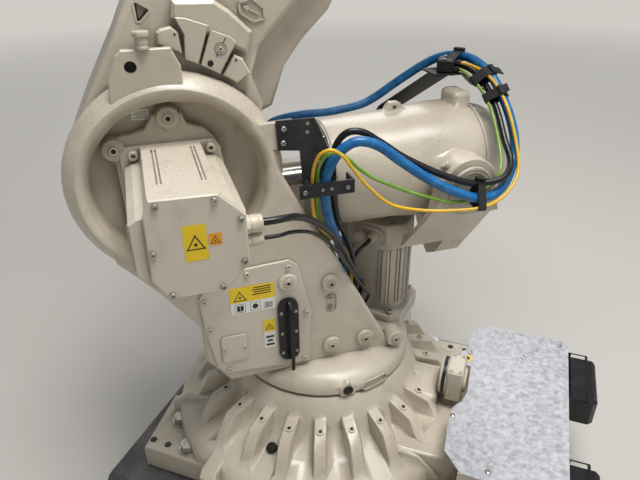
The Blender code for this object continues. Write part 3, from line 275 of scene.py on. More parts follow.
# Far from the machine the floor fades, for the camera alone, into the pale backdrop.
BACKDROP = "#CFCCC6"
where = add_node(floor_paint, "ShaderNodeTexCoord")
reach = add_node(floor_paint, "ShaderNodeVectorMath", {"operation": "LENGTH"}, {0: (where, "Object")})
far = limits(floor_paint, (reach, "Value"), FADE_START, FADE_END)
rays = add_node(floor_paint, "ShaderNodeLightPath")
seen = product(floor_paint, far, (rays, "Is Camera Ray"))
pale = add_node(floor_paint, "ShaderNodeEmission", {"Color": srgb(BACKDROP)})
faded = add_node(floor_paint, "ShaderNodeMixShader", {}, {0: seen, 1: (shader, 0), 2: (pale, 0)})
connect(floor_paint, (faded, 0), floor_paint.node_tree.nodes["Material Output"], "Surface")

world = bpy.data.worlds.new("studio")
world.use_nodes = True
daylight = world.node_tree.nodes["Background"]
daylight.inputs["Color"].default_value = srgb("#E6EAEE")
daylight.inputs["Strength"].default_value = 0.34
backdrop = add_node(world, "ShaderNodeBackground", {"Color": srgb(BACKDROP)})
rays = add_node(world, "ShaderNodeLightPath")
sky = add_node(
    world, "ShaderNodeMixShader", {}, {0: (rays, "Is Camera Ray"), 1: (daylight, 0), 2: (backdrop, 0)})
connect(world, (sky, 0), world.node_tree.nodes["World Output"], "Surface")
scene.world = world
for name, place, size, power in (("key_softbox", (-0.5, 1.0, 4.6), 2.0, 190.0),
                                 ("fill_softbox", (-2.6, 3.4, 3.4), 2.6, 22.0),
                                 ("rim_softbox", (-1.5, -4.0, 4.2), 2.6, 90.0)):
    lamp = bpy.data.objects.new(name, bpy.data.lights.new(name, "AREA"))
    lamp.data.size = size
    lamp.data.energy = power
    lamp.location = place
    lamp.rotation_euler = (Vector((0, 0, 0.9)) - Vector(place)).to_track_quat("-Z", "Y").to_euler()
    scene.collection.objects.link(lamp)


def sprayed_paint(name, light, shade, cast, chipped=0.0):
    """Warm off-white two-pack paint: orange peel, broad tone, shop dust, painted shade in crevices and
    knocked-off chips.
    """
    material, shader = new_material(name, light)
    broad = limits(material, noise(material, 2.6, 3.0), 0.38, 0.64)
    tone = blend_colour(material, broad, light, shade)
    smear = limits(material, noise(material, 14.0, 7.0, 0.66), 0.54, 0.72, 0.0, 0.42)
    tone = blend_colour(material, smear, tone, "#A89D88")
    facing = add_node(material, "ShaderNodeTexCoord")
    apart = add_node(material, "ShaderNodeSeparateXYZ", {}, {0: (facing, "Normal")})
    level = limits(material, (apart, "Z"), 0.05, 0.75, 0.25, 1.0)
    specks = limits(material, noise(material, 300.0, 2.0, 0.8), 0.58, 0.66)
    drifts = limits(material, noise(material, 7.0, 4.0, 0.6), 0.42, 0.62, 0.15, 1.0)
    dust = product(material, product(material, level, specks), drifts)
    dust = limits(material, dust, 0.0, 1.0, 0.0, 0.72)
    tone = blend_colour(material, dust, tone, "#6E675B")
    # Painted shade: ambient occlusion darkens the paint towards brownish grey in corners, seams and
    # recesses.
    corner = add_node(material, "ShaderNodeAmbientOcclusion", {"samples": 4, "Distance": 0.03})
    crevice_shade = limits(material, (corner, "AO"), 0.35, 0.8, 0.72, 0.0)
    tone = blend_colour(material, crevice_shade, tone, "#8B8273")
    chips = limits(material, noise(material, 38.0, 9.0, 0.68), 0.695, 0.71, 0.0, chipped)
    tone = blend_colour(material, chips, tone, "#4A4135")
    connect(material, tone, shader, "Base Color")
    gloss = limits(material, noise(material, 9.0, 5.0), 0.35, 0.7, 0.3, 0.5)
    connect(material, gloss, shader, "Roughness")
    shader.inputs["Coat Weight"].default_value = 0.25
    shader.inputs["Coat Roughness"].default_value = 0.22
    peel = noise(material, 380.0, 2.0)
    lumps = noise(material, 34.0, 4.0, 0.6)
    height = add_node(
        material, "ShaderNodeMath", {"operation": "MULTIPLY_ADD", 1: 0.22}, {0: peel, 2: lumps})
    strength, depth = (0.55, 0.0016) if cast else (0.22, 0.001)
    bump(material, shader, (height, 0), strength, depth)
    return material


# Paint of the castings and of the motors: the same warm off-white, thick and uneven on sand-cast
# iron, and thinner and glossier on the die-cast motor housings and sheet covers.
cast_paint = sprayed_paint("sprayed_paint_on_cast_iron", "#D0C5B3", "#BFB4A1", True)
cover_paint = sprayed_paint("sprayed_paint_on_motor_covers", "#D4CABA", "#C6BBA8", False)
base_paint = sprayed_paint("chipped_paint_on_base_iron", "#D0C5B3", "#BBB09D", True, 0.9)

# Galvanised sheet of the connection box cover: cold grey, spangled, mottled by white oxide and
# rubbed by hands and boots, so that it gleams in patches.
galvanised, shader = new_material("spangled_galvanised_sheet", "#BFC0C2", metallic=0.45)
where = add_node(galvanised, "ShaderNodeTexCoord")
spangle = add_node(galvanised, "ShaderNodeTexVoronoi", {"Scale": 120.0}, {"Vector": (where, "Object")})
grain = add_node(galvanised, "ShaderNodeSeparateColor", {}, {"Color": (spangle, "Color")})
tone = blend_colour(galvanised, (grain, "Red"), "#A6A7AC", "#C1C1C5")
oxide = limits(galvanised, noise(galvanised, 70.0, 9.0, 0.75), 0.44, 0.62, 0.0, 0.7)
tone = blend_colour(galvanised, oxide, tone, "#D3D3D6")
stain = limits(galvanised, noise(galvanised, 24.0, 9.0, 0.72), 0.58, 0.72, 0.0, 0.6)
tone = blend_colour(galvanised, stain, tone, "#7F7C79")
rubbed = limits(galvanised, noise(galvanised, 30.0, 8.0, 0.7, (1.0, 6.0, 1.0)), 0.66, 0.7, 0.0, 0.7)
tone = blend_colour(galvanised, rubbed, tone, "#6E6B68")
connect(galvanised, tone, shader, "Base Color")
dull = limits(galvanised, noise(galvanised, 70.0, 9.0, 0.75), 0.42, 0.64, 0.4, 0.66)
connect(galvanised, dull, shader, "Roughness")
scratches = noise(galvanised, 60.0, 4.0, 0.6, (1.0, 14.0, 1.0))
bump(galvanised, shader, scratches, 0.12, 0.0006)


def filmed(name, base, roughness, patches, spread, clean, dusty, grain, relief):
    """Even finish under a film in patches, with a fine grain; gives its material, shader and tone."""
    material, shader = new_material(name, base, roughness)
    film = limits(material, noise(material, *patches), *spread)
    tone = blend_colour(material, film, clean, dusty)
    connect(material, tone, shader, "Base Color")
    bump(material, shader, noise(material, *grain), *relief)
    return material, shader, tone


# Plinth plate: dark grey painted steel under a film of pale floor dust, worn bare in spots.
plinth_paint, shader, tone = filmed(
    "dusty_dark_plinth_paint", "#3B3D40", 0.6, (7.0, 8.0, 0.68), (0.42, 0.66, 0.0, 0.75),
    "#34363A", "#6D6A64", (90.0, 5.0), (0.3, 0.0012))
bare = limits(plinth_paint, noise(plinth_paint, 42.0, 6.0, 0.7), 0.66, 0.72)
connect(plinth_paint, blend_colour(plinth_paint, bare, tone, "#8E8B85"), shader, "Base Color")

# Brackets of the hose bundle: charcoal powder coat, finely textured, with dull dusty edges.
bracket_paint = filmed(
    "charcoal_powder_coat", "#2C2E31", 0.55, (22.0, 6.0, 0.6), (0.48, 0.7, 0.0, 0.55),
    "#1C1D20", "#3C3C3D", (650.0, 2.0), (0.3, 0.0004))[0]

# Moulded black plastic of the handle, plug hoods and clamps: satin, with a fine spark-eroded grain.
black_plastic = filmed(
    "moulded_black_plastic", "#141415", 0.34, (30.0, 6.0), (0.5, 0.72, 0.0, 0.5), "#101011", "#2B2B2C",
    (1100.0, 2.0), (0.25, 0.0002))[0]

# Cream plastic of the glands: smoother and a little yellower than the paint.
cream_plastic = filmed(
    "aged_cream_plastic", "#D9D4C6", 0.36, (36.0, 5.0), (0.45, 0.72), "#D3C9B6", "#B9AE9A", (500.0, 2.0),
    (0.15, 0.0003))[0]

# Hook-and-loop strap of the hose bundle: woven black nylon, dull, with a fine ribbed weave.
strap_nylon, shader = new_material("woven_black_nylon", "#151516", 0.72)
weave = noise(strap_nylon, 900.0, 2.0, 0.6, (1.0, 1.0, 0.4))
connect(strap_nylon, blend_colour(strap_nylon, weave, "#0F0F10", "#2A2A2C"), shader, "Base Color")
bump(strap_nylon, shader, weave, 0.5, 0.0005)

# Machined steel of the balancer's rod, the pin and the tool flange: turned lines under thin oil.
turned_steel, shader = new_material("turned_oiled_steel", "#A5A29C", metallic=0.95)
lines = noise(turned_steel, 700.0, 2.0, 0.5, (1.0, 0.05, 0.05))
tone = blend_colour(turned_steel, lines, "#8E8B86", "#B9B6B0")
connect(turned_steel, tone, shader, "Base Color")
smudge = limits(turned_steel, noise(turned_steel, 24.0, 5.0), 0.4, 0.7, 0.2, 0.42)
connect(turned_steel, smudge, shader, "Roughness")

# Zinc-plated fasteners: pale, slightly yellow metal, dulled and stained where water stood.
zinc, shader = new_material("zinc_plated_steel", "#B4B2AA", metallic=0.9)
patch = limits(zinc, noise(zinc, 120.0, 5.0, 0.65), 0.4, 0.68)
tone = blend_colour(zinc, patch, "#C3C2BC", "#8F8A7C")
connect(zinc, tone, shader, "Base Color")
dull = limits(zinc, noise(zinc, 200.0, 4.0), 0.4, 0.7, 0.28, 0.55)
connect(zinc, dull, shader, "Roughness")

# Painted shade of holes: near-black discs stand in for the shade inside tapped bores and socket recesses;
# the same black also draws a few dark marks.
shade_and_mark_black, shader = new_material("painted_hole_shade_and_black_marks", "#14120F", 0.55)
tone = blend_colour(shade_and_mark_black, noise(shade_and_mark_black, 300.0), "#0E0D0B", "#24211C")
connect(shade_and_mark_black, tone, shader, "Base Color")


def printed(name, colour, worn):
    """Printed label film: even ink, rubbed paler in small patches, with a satin laminate over it."""
    material, shader = new_material(name, colour, 0.34)
    rub = limits(material, noise(material, 80.0, 6.0, 0.7), 0.58, 0.74, 0.0, 0.7)
    ink = blend_colour(material, rub, colour, worn)
    connect(material, ink, shader, "Base Color")
    bump(material, shader, noise(material, 60.0, 3.0), 0.1, 0.0004)
    return material


# Labels: yellow, orange and white film with black marks, all without words.
label_yellow = printed("yellow_label_film", "#EBC81B", "#E4D27A")
label_orange = printed("orange_label_film", "#E8A223", "#DDB873")
label_white = printed("white_label_film", "#E4E3DC", "#C9C6BA")
label_black = printed("black_label_ink", "#1B1A18", "#3E3B34")
label_grey = printed("grey_label_ink", "#8C8B86", "#B3B0A7")

cast_nodes = (
    "cable_entry", "column_frame", "lower_arm", "balancer_shell", "elbow_housing", "forearm", "wrist",
    "shoulder_gear_flange", "balancer_axle_left", "balancer_axle_right", "lifting_bracket", "stop_block",
    "elbow_gear_flange", "elbow_bearing_cap")
finishes = {
    "cream_paint": cover_paint, "cream_plastic": cream_plastic, "galvanised_sheet": galvanised,
    "machined_steel": turned_steel, "charcoal_paint": bracket_paint, "black_plastic": black_plastic}
own_finishes = dict.fromkeys(cast_nodes, cast_paint)
own_finishes.update({
    "base_casting": base_paint, "plinth_plate": plinth_paint, "hose_clamp": black_plastic,
    "stop_buffer_front": cover_paint, "stop_buffer_rear": cover_paint})
slots = {part["node"]: part["material_slot"] for part in frame["record"]["subparts"]}
for name, node in nodes.items():
    finish = own_finishes.get(name, finishes.get(slots[name], hose_skins["black"]))
    node.data.materials.clear()
    node.data.materials.append(finish)


# Places and axes: the frames that pieces are shaped in, with every joint at rest, and the axes that
# outlines are laid across. Axis 2 and the balancer's axle are (x, z) above the plinth.
AXIS_2 = (0.32, 0.78)
AXLE = (-0.262, 0.718)
BASE = UP @ Matrix.Rotation(math.radians(-38.0), 4, "Z")
ARM = Matrix.Translation((0.32, 0, 0.82)) @ Matrix.Rotation(math.radians(-27.0), 4, "Y")
BALANCER_PITCH = math.atan2(0.7545 - 0.758, 0.21945 + 0.262)
BALANCER = Matrix.Translation((-0.262, 0, 0.758)) @ Matrix.Rotation(-BALANCER_PITCH, 4, "Y")
MOTOR_1 = UP @ Matrix.Translation((-0.16, -0.049, 0)) @ Matrix.Rotation(math.radians(45), 4, "Z")
AXES = {
    "X": Matrix(((0, 0, 1), (1, 0, 0), (0, 1, 0))), "Y": Matrix(((1, 0, 0), (0, 0, 1), (0, 1, 0))),
    "Z": Matrix.Identity(3)}


def slab(outline, low, high, axis="Y", edge=0.0, steps=2):
    """Solid of an outline between two levels of an axis; a Y outline is (x, z) and an X one (y, z)."""
    bm = bmesh.new()
    ring = [bm.verts.new(AXES[axis] @ Vector((a, b, low))) for a, b in outline]
    face = bm.faces.new(ring)
    grown = bmesh.ops.extrude_face_region(bm, geom=[face])
    lifted = [v for v in grown["geom"] if isinstance(v, bmesh.types.BMVert)]
    bmesh.ops.translate(bm, verts=lifted, vec=AXES[axis] @ Vector((0, 0, high - low)))
    if edge:
        bmesh.ops.bevel(
            bm, geom=list(bm.edges), offset=edge, segments=steps, profile=0.5, affect="EDGES",
            material=-1, offset_type="OFFSET", clamp_overlap=True)
    bmesh.ops.recalc_face_normals(bm, faces=list(bm.faces))
    return bm


def lathe(profile, axis="Z", centre=(0.0, 0.0), segments=24, base=0.0):
    """Closed solid turned from (radius, level) pairs that begin and end on the axis.

    The centre is given across the axis, and base is added to every level.
    """
    bm = bmesh.new()
    chain = [bm.verts.new((radius, 0.0, level)) for radius, level in profile]
    section = chain + [bm.edges.new(pair) for pair in zip(chain, chain[1:])]
    bmesh.ops.spin(
        bm, geom=section, cent=(0, 0, 0), axis=(0, 0, 1), dvec=(0, 0, 0), angle=math.tau, steps=segments,
        use_merge=True, use_duplicate=False)
    bmesh.ops.remove_doubles(bm, verts=list(bm.verts), dist=1e-6)
    bm.transform(AXES[axis].to_4x4() @ Matrix.Translation((*centre, base)))
    bm.normal_update()
    bmesh.ops.recalc_face_normals(bm, faces=list(bm.faces))
    return bm


def disc(radius, low, high, axis, centre, segments):
    """Round plate between two levels of an axis."""
    return lathe([(0.0, low), (radius, low), (radius, high), (0.0, high)], axis, centre, segments)


def bar(a, b, low, high, axis, edge=0.0, steps=2):
    """Rectangular slab: a and b are its (low, high) pairs across the axis."""
    return slab([(a[0], b[0]), (a[1], b[0]), (a[1], b[1]), (a[0], b[1])], low, high, axis, edge, steps)


def mirror(bm, axis):
    """Mirror a mesh through the origin along an axis."""
    bm.transform(Matrix.Scale(-1, 4, AXES[axis] @ Vector((0, 0, 1))))
    bmesh.ops.reverse_faces(bm, faces=list(bm.faces))


def circle(cx, cy, radius, count=24, start=0.0):
    """Points round a circle."""
    return [(
        cx + radius * math.cos(start + math.tau * k / count),
        cy + radius * math.sin(start + math.tau * k / count)) for k in range(count)]


def rounded(x, y, radius, steps=4):
    """Rectangle x = (low, high), y = (low, high) with rounded corners."""
    points = []
    for cx, cy, start in (
            (x[1] - radius, y[1] - radius, 0), (x[0] + radius, y[1] - radius, 90),
            (x[0] + radius, y[0] + radius, 180), (x[1] - radius, y[0] + radius, 270)):
        for k in range(steps + 1):
            angle = math.radians(start + 90 * k / steps)
            points.append((cx + radius * math.cos(angle), cy + radius * math.sin(angle)))
    return points


def skin_rings(rings):
    """Closed band through rings of as many points each, the last one joined to the first."""
    bm = bmesh.new()
    rings = [[bm.verts.new(point) for point in ring] for ring in rings]
    for first, second in zip(rings, rings[1:] + rings[:1]):
        for k in range(len(first)):
            j = (k + 1) % len(first)
            bm.faces.new((first[k], first[j], second[j], second[k]))
    bmesh.ops.recalc_face_normals(bm, faces=list(bm.faces))
    return bm


def bridge(inner, outer, low, high, axis):
    """Closed ring between two outlines of as many points, from one level of an axis to another."""
    sides = ((inner, low), (outer, low), (outer, high), (inner, high))
    return skin_rings([[AXES[axis] @ Vector((a, b, level)) for a, b in loop] for loop, level in sides])


CRISP_EDGE = math.radians(32)


def piece(name, meshes, material, body="column", place=UP):
    """Join meshes into one finished piece in the row frame, and let it ride on a body."""
    whole = bpy.data.meshes.new(name)
    merged = bmesh.new()
    for bm in meshes:
        scratch = bpy.data.meshes.new("scratch")
        bm.to_mesh(scratch)
        bm.free()
        merged.from_mesh(scratch)
        bpy.data.meshes.remove(scratch)
    merged.transform(place)
    merged.to_mesh(whole)
    merged.free()
    whole.shade_smooth()
    whole.set_sharp_from_angle(angle=CRISP_EDGE)
    whole.materials.append(material)
    obj = bpy.data.objects.new(name, whole)
    scene.collection.objects.link(obj)
    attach(obj, body)
    return obj


def socket_screw(radius, low, height, axis, centre, segments=20):
    """Cap screw head with its round-cornered socket sunk in the top."""
    top = low + height
    profile = [
        (0.0, low), (radius, low), (radius, top - 0.12 * radius), (radius * 0.88, top),
        (radius * 0.5, top), (radius * 0.46, top - height * 0.6), (0.0, top - height * 0.6)]
    return lathe(profile, axis, centre, segments)


def screws(spots, radius, low, height, axis, segments=20):
    """Socket screws at some spots across an axis."""
    return [socket_screw(radius, low, height, axis, spot, segments) for spot in spots]


def hex_bolt(across_flats, low, height, centre, washer):
    """Hexagon head with turned-off corners on a flat washer: two meshes."""
    head = slab(
        circle(0, 0, across_flats / math.sqrt(3), 6, 0.3), low + 0.003, low + height, "Z", 0.0011, 1)
    head.transform(Matrix.Translation((*centre, 0)))
    ring = lathe([
        (0.0, low), (washer, low), (washer, low + 0.0022), (washer - 0.001, low + 0.003),
        (0.0, low + 0.003)], "Z", centre, 32)
    return [head, ring]


# Castings and turned parts: each skin is its solid with the corners merged and the normals
# smoothed, so that round walls look cast or turned while flat faces and edges stay crisp.
skins = (
    "base_casting", "cable_entry", "column_frame", "lower_arm", "elbow_housing", "forearm", "wrist",
    "balancer_shell", "balancer_rod", "balancer_axle_left", "balancer_axle_right", "tool_flange",
    "elbow_bearing_cap", "elbow_gear_flange", "balancer_rod_pin", "axis_1_motor")
SAME_POINT = 0.00002
SOFT_EDGE = math.radians(26)
for body, members in frame["record"]["behaviour"]["bodies"].items():
    for name in [member for member in members if member in skins]:
        shape = bmesh.new()
        shape.from_mesh(nodes[name].data)
        bmesh.ops.remove_doubles(shape, verts=list(shape.verts), dist=SAME_POINT)
        skin = bpy.data.meshes.new(name + "_skin")
        shape.to_mesh(skin)
        shape.free()
        skin.shade_smooth()
        skin.set_sharp_from_angle(angle=SOFT_EDGE)
        skin.materials.append(nodes[name].data.materials[0])
        casting = bpy.data.objects.new(name + "_skin", skin)
        scene.collection.objects.link(casting)
        casting.modifiers.new("weighted_normals", "WEIGHTED_NORMAL").keep_sharp = True
        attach(casting, body)
        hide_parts(name)


# Shoulder: the gear adapter is a cast web that follows the motor's foot, with a round boss and a
# painted cap screw at each corner that shows; also the motor's foot screws and a small blank tag.
web = slab([
    (0.3445, 0.908), (0.36, 0.884), (0.388, 0.876), (0.405, 0.876), (0.433, 0.862), (0.435, 0.842),
    (0.418, 0.828), (0.416, 0.7), (0.402, 0.664), (0.366, 0.646), (0.27, 0.646), (0.236, 0.67),
    (0.223, 0.7), (0.226, 0.815), (0.236, 0.852), (0.256, 0.876), (0.286, 0.886), (0.293, 0.908)],
    0.0845, 0.106, "Y", 0.004, 3)
pad = slab([
    (0.4, 0.858), (0.242, 0.858), (0.23, 0.84), (0.229, 0.712), (0.242, 0.698), (0.4, 0.698),
    (0.412, 0.712), (0.41, 0.845)], 0.104, 0.116, "Y", 0.004, 3)
adapter = [web, pad]
flange_bolts = []
flange_socket_shade = []
for degrees in (91, 37, 262, 290):
    angle = math.radians(degrees)
    spot = (AXIS_2[0] + 0.122 * math.cos(angle), AXIS_2[1] + 0.122 * math.sin(angle))
    adapter.append(lathe([
        (0.0, 0.085), (0.0215, 0.085), (0.0205, 0.109), (0.0195, 0.1118), (0.0175, 0.113), (0.0, 0.113)],
        "Y", spot, 32))
    flange_bolts.append(lathe([
        (0.0, 0.1128), (0.0125, 0.1128), (0.0125, 0.114), (0.0118, 0.1146), (0.01, 0.1146),
        (0.0094, 0.1136), (0.009, 0.1136), (0.0086, 0.116), (0.0078, 0.1166), (0.0046, 0.1166),
        (0.0044, 0.114), (0.0, 0.114)], "Y", spot, 24))
    flange_socket_shade.append(disc(0.0043, 0.1141, 0.115, "Y", spot, 12))
adapter = piece("gear_adapter_casting", adapter, cast_paint)
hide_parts("shoulder_gear_flange")
piece("shoulder_flange_bolts", flange_bolts, cast_paint)
# The black discs in the screws' sockets are painted shade.
piece("shoulder_flange_socket_shade", flange_socket_shade, shade_and_mark_black, "column")

foot_screws = screws(
    ((0.386, 0.845), (0.25, 0.845), (0.398, 0.722), (0.24, 0.724)), 0.0085, 0.1165, 0.012, "Y")
piece("motor_foot_screws", foot_screws, cover_paint)

pocket_tag = slab(rounded((0.348, 0.379), (0.896, 0.914), 0.002), 0.0843, 0.0848, "Y")
piece("pocket_tag", [pocket_tag], label_white)
tag_marks = [
    slab(rounded((0.351, 0.376 - 0.004 * (row % 2)), (z, z + 0.0016), 0.0006, 2), 0.0847, 0.085, "Y")
    for row, z in enumerate((0.899, 0.9025, 0.906, 0.9095))]
piece("pocket_tag_marks", tag_marks, label_grey)

# Lifting bracket: a painted square-headed plug stands on its top edge, and a black disc in its eye is
# painted shade for a deep hole.
plug = [lathe(
    [(0.0, 1.0252), (0.0105, 1.0252), (0.0105, 1.029), (0.0098, 1.03), (0.0098, 1.033), (0.0105, 1.034),
    (0.0105, 1.045), (0.0, 1.045)], "Z", (0.343, 0.1365), 20),
    slab(circle(0.343, 0.1365, 0.0142, 8, 0.39), 1.0445, 1.053, "Z", 0.0014, 2)]
piece("lifting_bracket_plug", plug, cast_paint)
eye = disc(0.0102, 0.1215, 0.126, "Y", (0.366, 0.998), 24)
piece("lifting_bracket_eye_shade", [eye], shade_and_mark_black, "column")


# Motor of axis 2: cover screws at the corners, cast fins along its sides, and two coloured label
# patches on its end cover, each with a plain outlined triangle and no words.
cover_screws = screws((
    (0.363, 0.852), (0.279, 0.85), (0.2425, 0.814), (0.2425, 0.741), (0.279, 0.701), (0.357, 0.701),
    (0.3755, 0.777)), 0.0052, 0.3663, 0.0045, "Y", 16)
piece("motor_2_cover_screws", cover_screws, zinc)

fins = []
for y in (0.335, 0.343):
    fins.append(slab([
        (0.4045, 0.742), (0.4065, 0.744), (0.4065, 0.815), (0.4045, 0.818)], y, y + 0.003, "Y"))
for z in (0.752, 0.768, 0.784, 0.8):
    fins.append(bar((0.15, 0.322), (z, z + 0.003), 0.4042, 0.4062, "X"))
piece("motor_2_fins", fins, cover_paint)


def triangle_sign(x, z, size, face, rise):
    """Black outlined triangle with a plain dot in it, on a face across Y."""
    half = size * 0.577
    outer = [(x - half, z - size / 3), (x + half, z - size / 3), (x, z + size * 2 / 3)]
    marks = []
    for i in range(3):
        a, b = Vector(outer[i]), Vector(outer[(i + 1) % 3])
        inward = (Vector((x, z)) - (a + b) / 2).normalized() * size * 0.075
        strip = [a, b, b + inward, a + inward]
        marks.append(slab([tuple(p) for p in strip], face, face + rise * (1 + 0.15 * i), "Y"))
    marks.append(slab(circle(x, z, size * 0.11, 14), face, face + rise, "Y"))
    return marks


end_face = 0.3661
yellow_tag = slab(rounded((0.2955, 0.3305), (0.755, 0.815), 0.002), end_face, end_face + 0.0004, "Y")
piece("motor_2_yellow_label", [yellow_tag], label_yellow)
orange_tag = slab(rounded((0.2735, 0.2935), (0.777, 0.797), 0.002), end_face, end_face + 0.0004, "Y")
piece("motor_2_orange_label", [orange_tag], label_orange)
signs = triangle_sign(0.313, 0.782, 0.025, end_face + 0.0003, 0.0003)
signs += triangle_sign(0.2835, 0.7845, 0.013, end_face + 0.0003, 0.0003)
piece("motor_2_label_signs", signs, label_black)


# Column's left side: screws of the cover and the access plate, round bosses with sunk
# screw heads, the two screws in the oval recess, and the wordless yellow and white labels.
face = 0.1463
side_screws = screws((
    (0.293, 0.455), (0.299, 0.528), (0.208, 0.577), (0.121, 0.578), (0.084, 0.456), (0.091, 0.329),
    (0.263, 0.341)), 0.0058, face, 0.004, "Y", 16)
side_screws += screws(((0.2695, 0.398), (0.2245, 0.398)), 0.0045, face + 0.0043, 0.003, "Y", 16)
piece("cover_screws", side_screws, cover_paint)
recess_screws = screws(((0.026, 0.45), (0.026, 0.476)), 0.0055, 0.1352, 0.004, "Y", 16)
piece("recess_screws", recess_screws, zinc)

boss_rings = []
boss_socket_shade = []
for x, z, level in (
        (0.027, 0.518, 0.15), (0.025, 0.349, 0.15), (-0.057, 0.349, 0.15), (-0.135, 0.327, 0.15),
        (0.123, 0.541, 0.152)):
    boss_rings.append(lathe([
        (0.0, 0.0003), (0.0105, 0.0003), (0.0105, 0.0015), (0.0098, 0.0022), (0.0086, 0.0022),
        (0.008, 0.0009), (0.0074, 0.0009), (0.007, 0.003), (0.0062, 0.0036), (0.0045, 0.0036),
        (0.0042, 0.001), (0.0, 0.001)], "Y", (x, z), 24, level))
    boss_socket_shade.append(disc(0.0042, level + 0.0011, level + 0.002, "Y", (x, z), 12))
piece("boss_rings", boss_rings, cast_paint)
# The black discs in the bosses' screw sockets are painted shade.
piece("boss_socket_shade", boss_socket_shade, shade_and_mark_black, "column")

upper = slab([
    (0.152, 0.511), (0.247, 0.511), (0.247, 0.546), (0.245, 0.548), (0.154, 0.548), (0.152, 0.546)],
    face, face + 0.0004, "Y")
lower = slab([
    (0.155, 0.423), (0.181, 0.423), (0.181, 0.453), (0.18, 0.454), (0.156, 0.454), (0.155, 0.453)],
    face, face + 0.0004, "Y")
piece("column_yellow_labels", [upper, lower], label_yellow)
upper = slab([
    (0.154, 0.482), (0.245, 0.482), (0.247, 0.484), (0.247, 0.5107), (0.152, 0.5107), (0.152, 0.484)],
    face, face + 0.0004, "Y")
lower = slab([
    (0.156, 0.378), (0.18, 0.378), (0.181, 0.379), (0.181, 0.4227), (0.155, 0.4227), (0.155, 0.379)],
    face, face + 0.0004, "Y")
piece("column_white_labels", [upper, lower], label_white)
ink = face + 0.0003
marks = triangle_sign(0.226, 0.523, 0.024, ink, 0.0003) + triangle_sign(0.168, 0.434, 0.016, ink, 0.0003)
for low in (0.184, 0.216):
    for a, b, c, d in (
            (low, low + 0.022, 0.486, 0.4868), (low, low + 0.022, 0.5062, 0.507),
            (low, low + 0.0008, 0.486, 0.507), (low + 0.0212, low + 0.022, 0.486, 0.507)):
        marks.append(bar((a, b), (c, d), ink, ink + 0.0003, "Y"))
marks.append(slab(
    [(0.22, 0.4905), (0.2265, 0.489), (0.2265, 0.503), (0.22, 0.5025)], ink, ink + 0.0004, "Y"))
marks.append(slab(
    [(0.2275, 0.489), (0.234, 0.4905), (0.234, 0.5025), (0.2275, 0.503)], ink, ink + 0.0004, "Y"))
marks.append(slab(circle(0.195, 0.4965, 0.0062, 20), ink, ink + 0.0004, "Y"))
for row in range(5):
    z = 0.4995 - 0.003 * row
    marks.append(bar((0.158, 0.177 - 0.003 * (row % 2)), (z, z + 0.0012), ink, ink + 0.0003, "Y"))
for row in range(4):
    z = 0.541 - 0.0055 * row
    marks.append(bar((0.16, 0.196 + 0.004 * (row % 2)), (z, z + 0.0024), ink, ink + 0.0003, "Y"))
for row, half in enumerate((0.009, 0.006, 0.009)):
    z = 0.385 + 0.0105 * row
    marks.append(bar((0.168 - half, 0.168 + half), (z, z + 0.0052), ink, ink + 0.0003, "Y"))
piece("column_label_marks", marks, label_black)


# Release handle: moulded black plate with a raised rim round its slot, a thin lever bowed over it
# that ends in a tongue below the plate, and six silver pan-head screws.
outer = rounded((0.1035, 0.1484), (0.338, 0.502), 0.0215, 8)
slot = rounded((0.117, 0.134), (0.354, 0.486), 0.008, 8)
handle = [slab(outer, 0.1463, 0.1478, "Y", 0.0005, 1), bridge(slot, outer, 0.1477, 0.153, "Y")]
bow = [
    (0.1478, 0.499), (0.159, 0.496), (0.17, 0.484), (0.1775, 0.452), (0.178, 0.4), (0.1745, 0.352),
    (0.1715, 0.319), (0.168, 0.317), (0.165, 0.345), (0.169, 0.4), (0.168, 0.445), (0.161, 0.47),
    (0.1478, 0.48)]
handle.append(slab(bow, 0.1195, 0.1275, "X", 0.002, 2))
handle = piece("release_handle_lever", handle, black_plastic, "column")
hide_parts("release_handle")
pan_head = [(0.0, 0.1529), (0.004, 0.1529), (0.0037, 0.1545), (0.0024, 0.1554), (0.0, 0.1557)]
pans = [lathe(pan_head, "Y", (x, z), 16) for x in (0.11, 0.1415) for z in (0.36, 0.414, 0.468)]
piece("handle_screws", pans, zinc, "column")


# Turntable: black rubber plug in its house-shaped boss, and the raised hexagon frame left bare.
plug = lathe([
    (0.0, 0.2183), (0.0115, 0.2183), (0.012, 0.22), (0.0105, 0.2216), (0.004, 0.2222), (0.0036, 0.2212),
    (0.0, 0.2212)], "Y", (0.01, 0.269), 28)
piece("turntable_plug", [plug], black_plastic, "column")


def rim_frame(middle, half_angle, low, high, radius, width):
    """Raised long hexagon frame wrapped on the turntable's rim, as a closed band."""
    centre_z = (low + high) / 2
    outline = [
        (-half_angle, centre_z), (-half_angle * 0.72, high), (half_angle * 0.72, high),
        (half_angle, centre_z), (half_angle * 0.72, low), (-half_angle * 0.72, low)]
    shrink = 1 - width / (high - low) * 2
    narrow = 1 - width / (half_angle * radius)
    inner = [(a * narrow, centre_z + (z - centre_z) * shrink) for a, z in outline]
    fine_outer, fine_inner = [], []
    for loop, target in ((outline, fine_outer), (inner, fine_inner)):
        for (a, z), (b, y) in zip(loop, loop[1:] + loop[:1]):
            target += [(a + (b - a) * k / 6, z + (y - z) * k / 6) for k in range(6)]
    raised = radius + 0.0042
    sides = ((fine_outer, radius), (fine_outer, raised), (fine_inner, raised), (fine_inner, radius))
    return skin_rings([[
        (reach * math.cos(middle + a), reach * math.sin(middle + a), z) for a, z in loop]
        for loop, reach in sides])


frame_mark = rim_frame(math.radians(106), math.radians(10.5), 0.2545, 0.28, 0.2155, 0.004)
piece("turntable_frame_mark", [frame_mark], cast_paint)


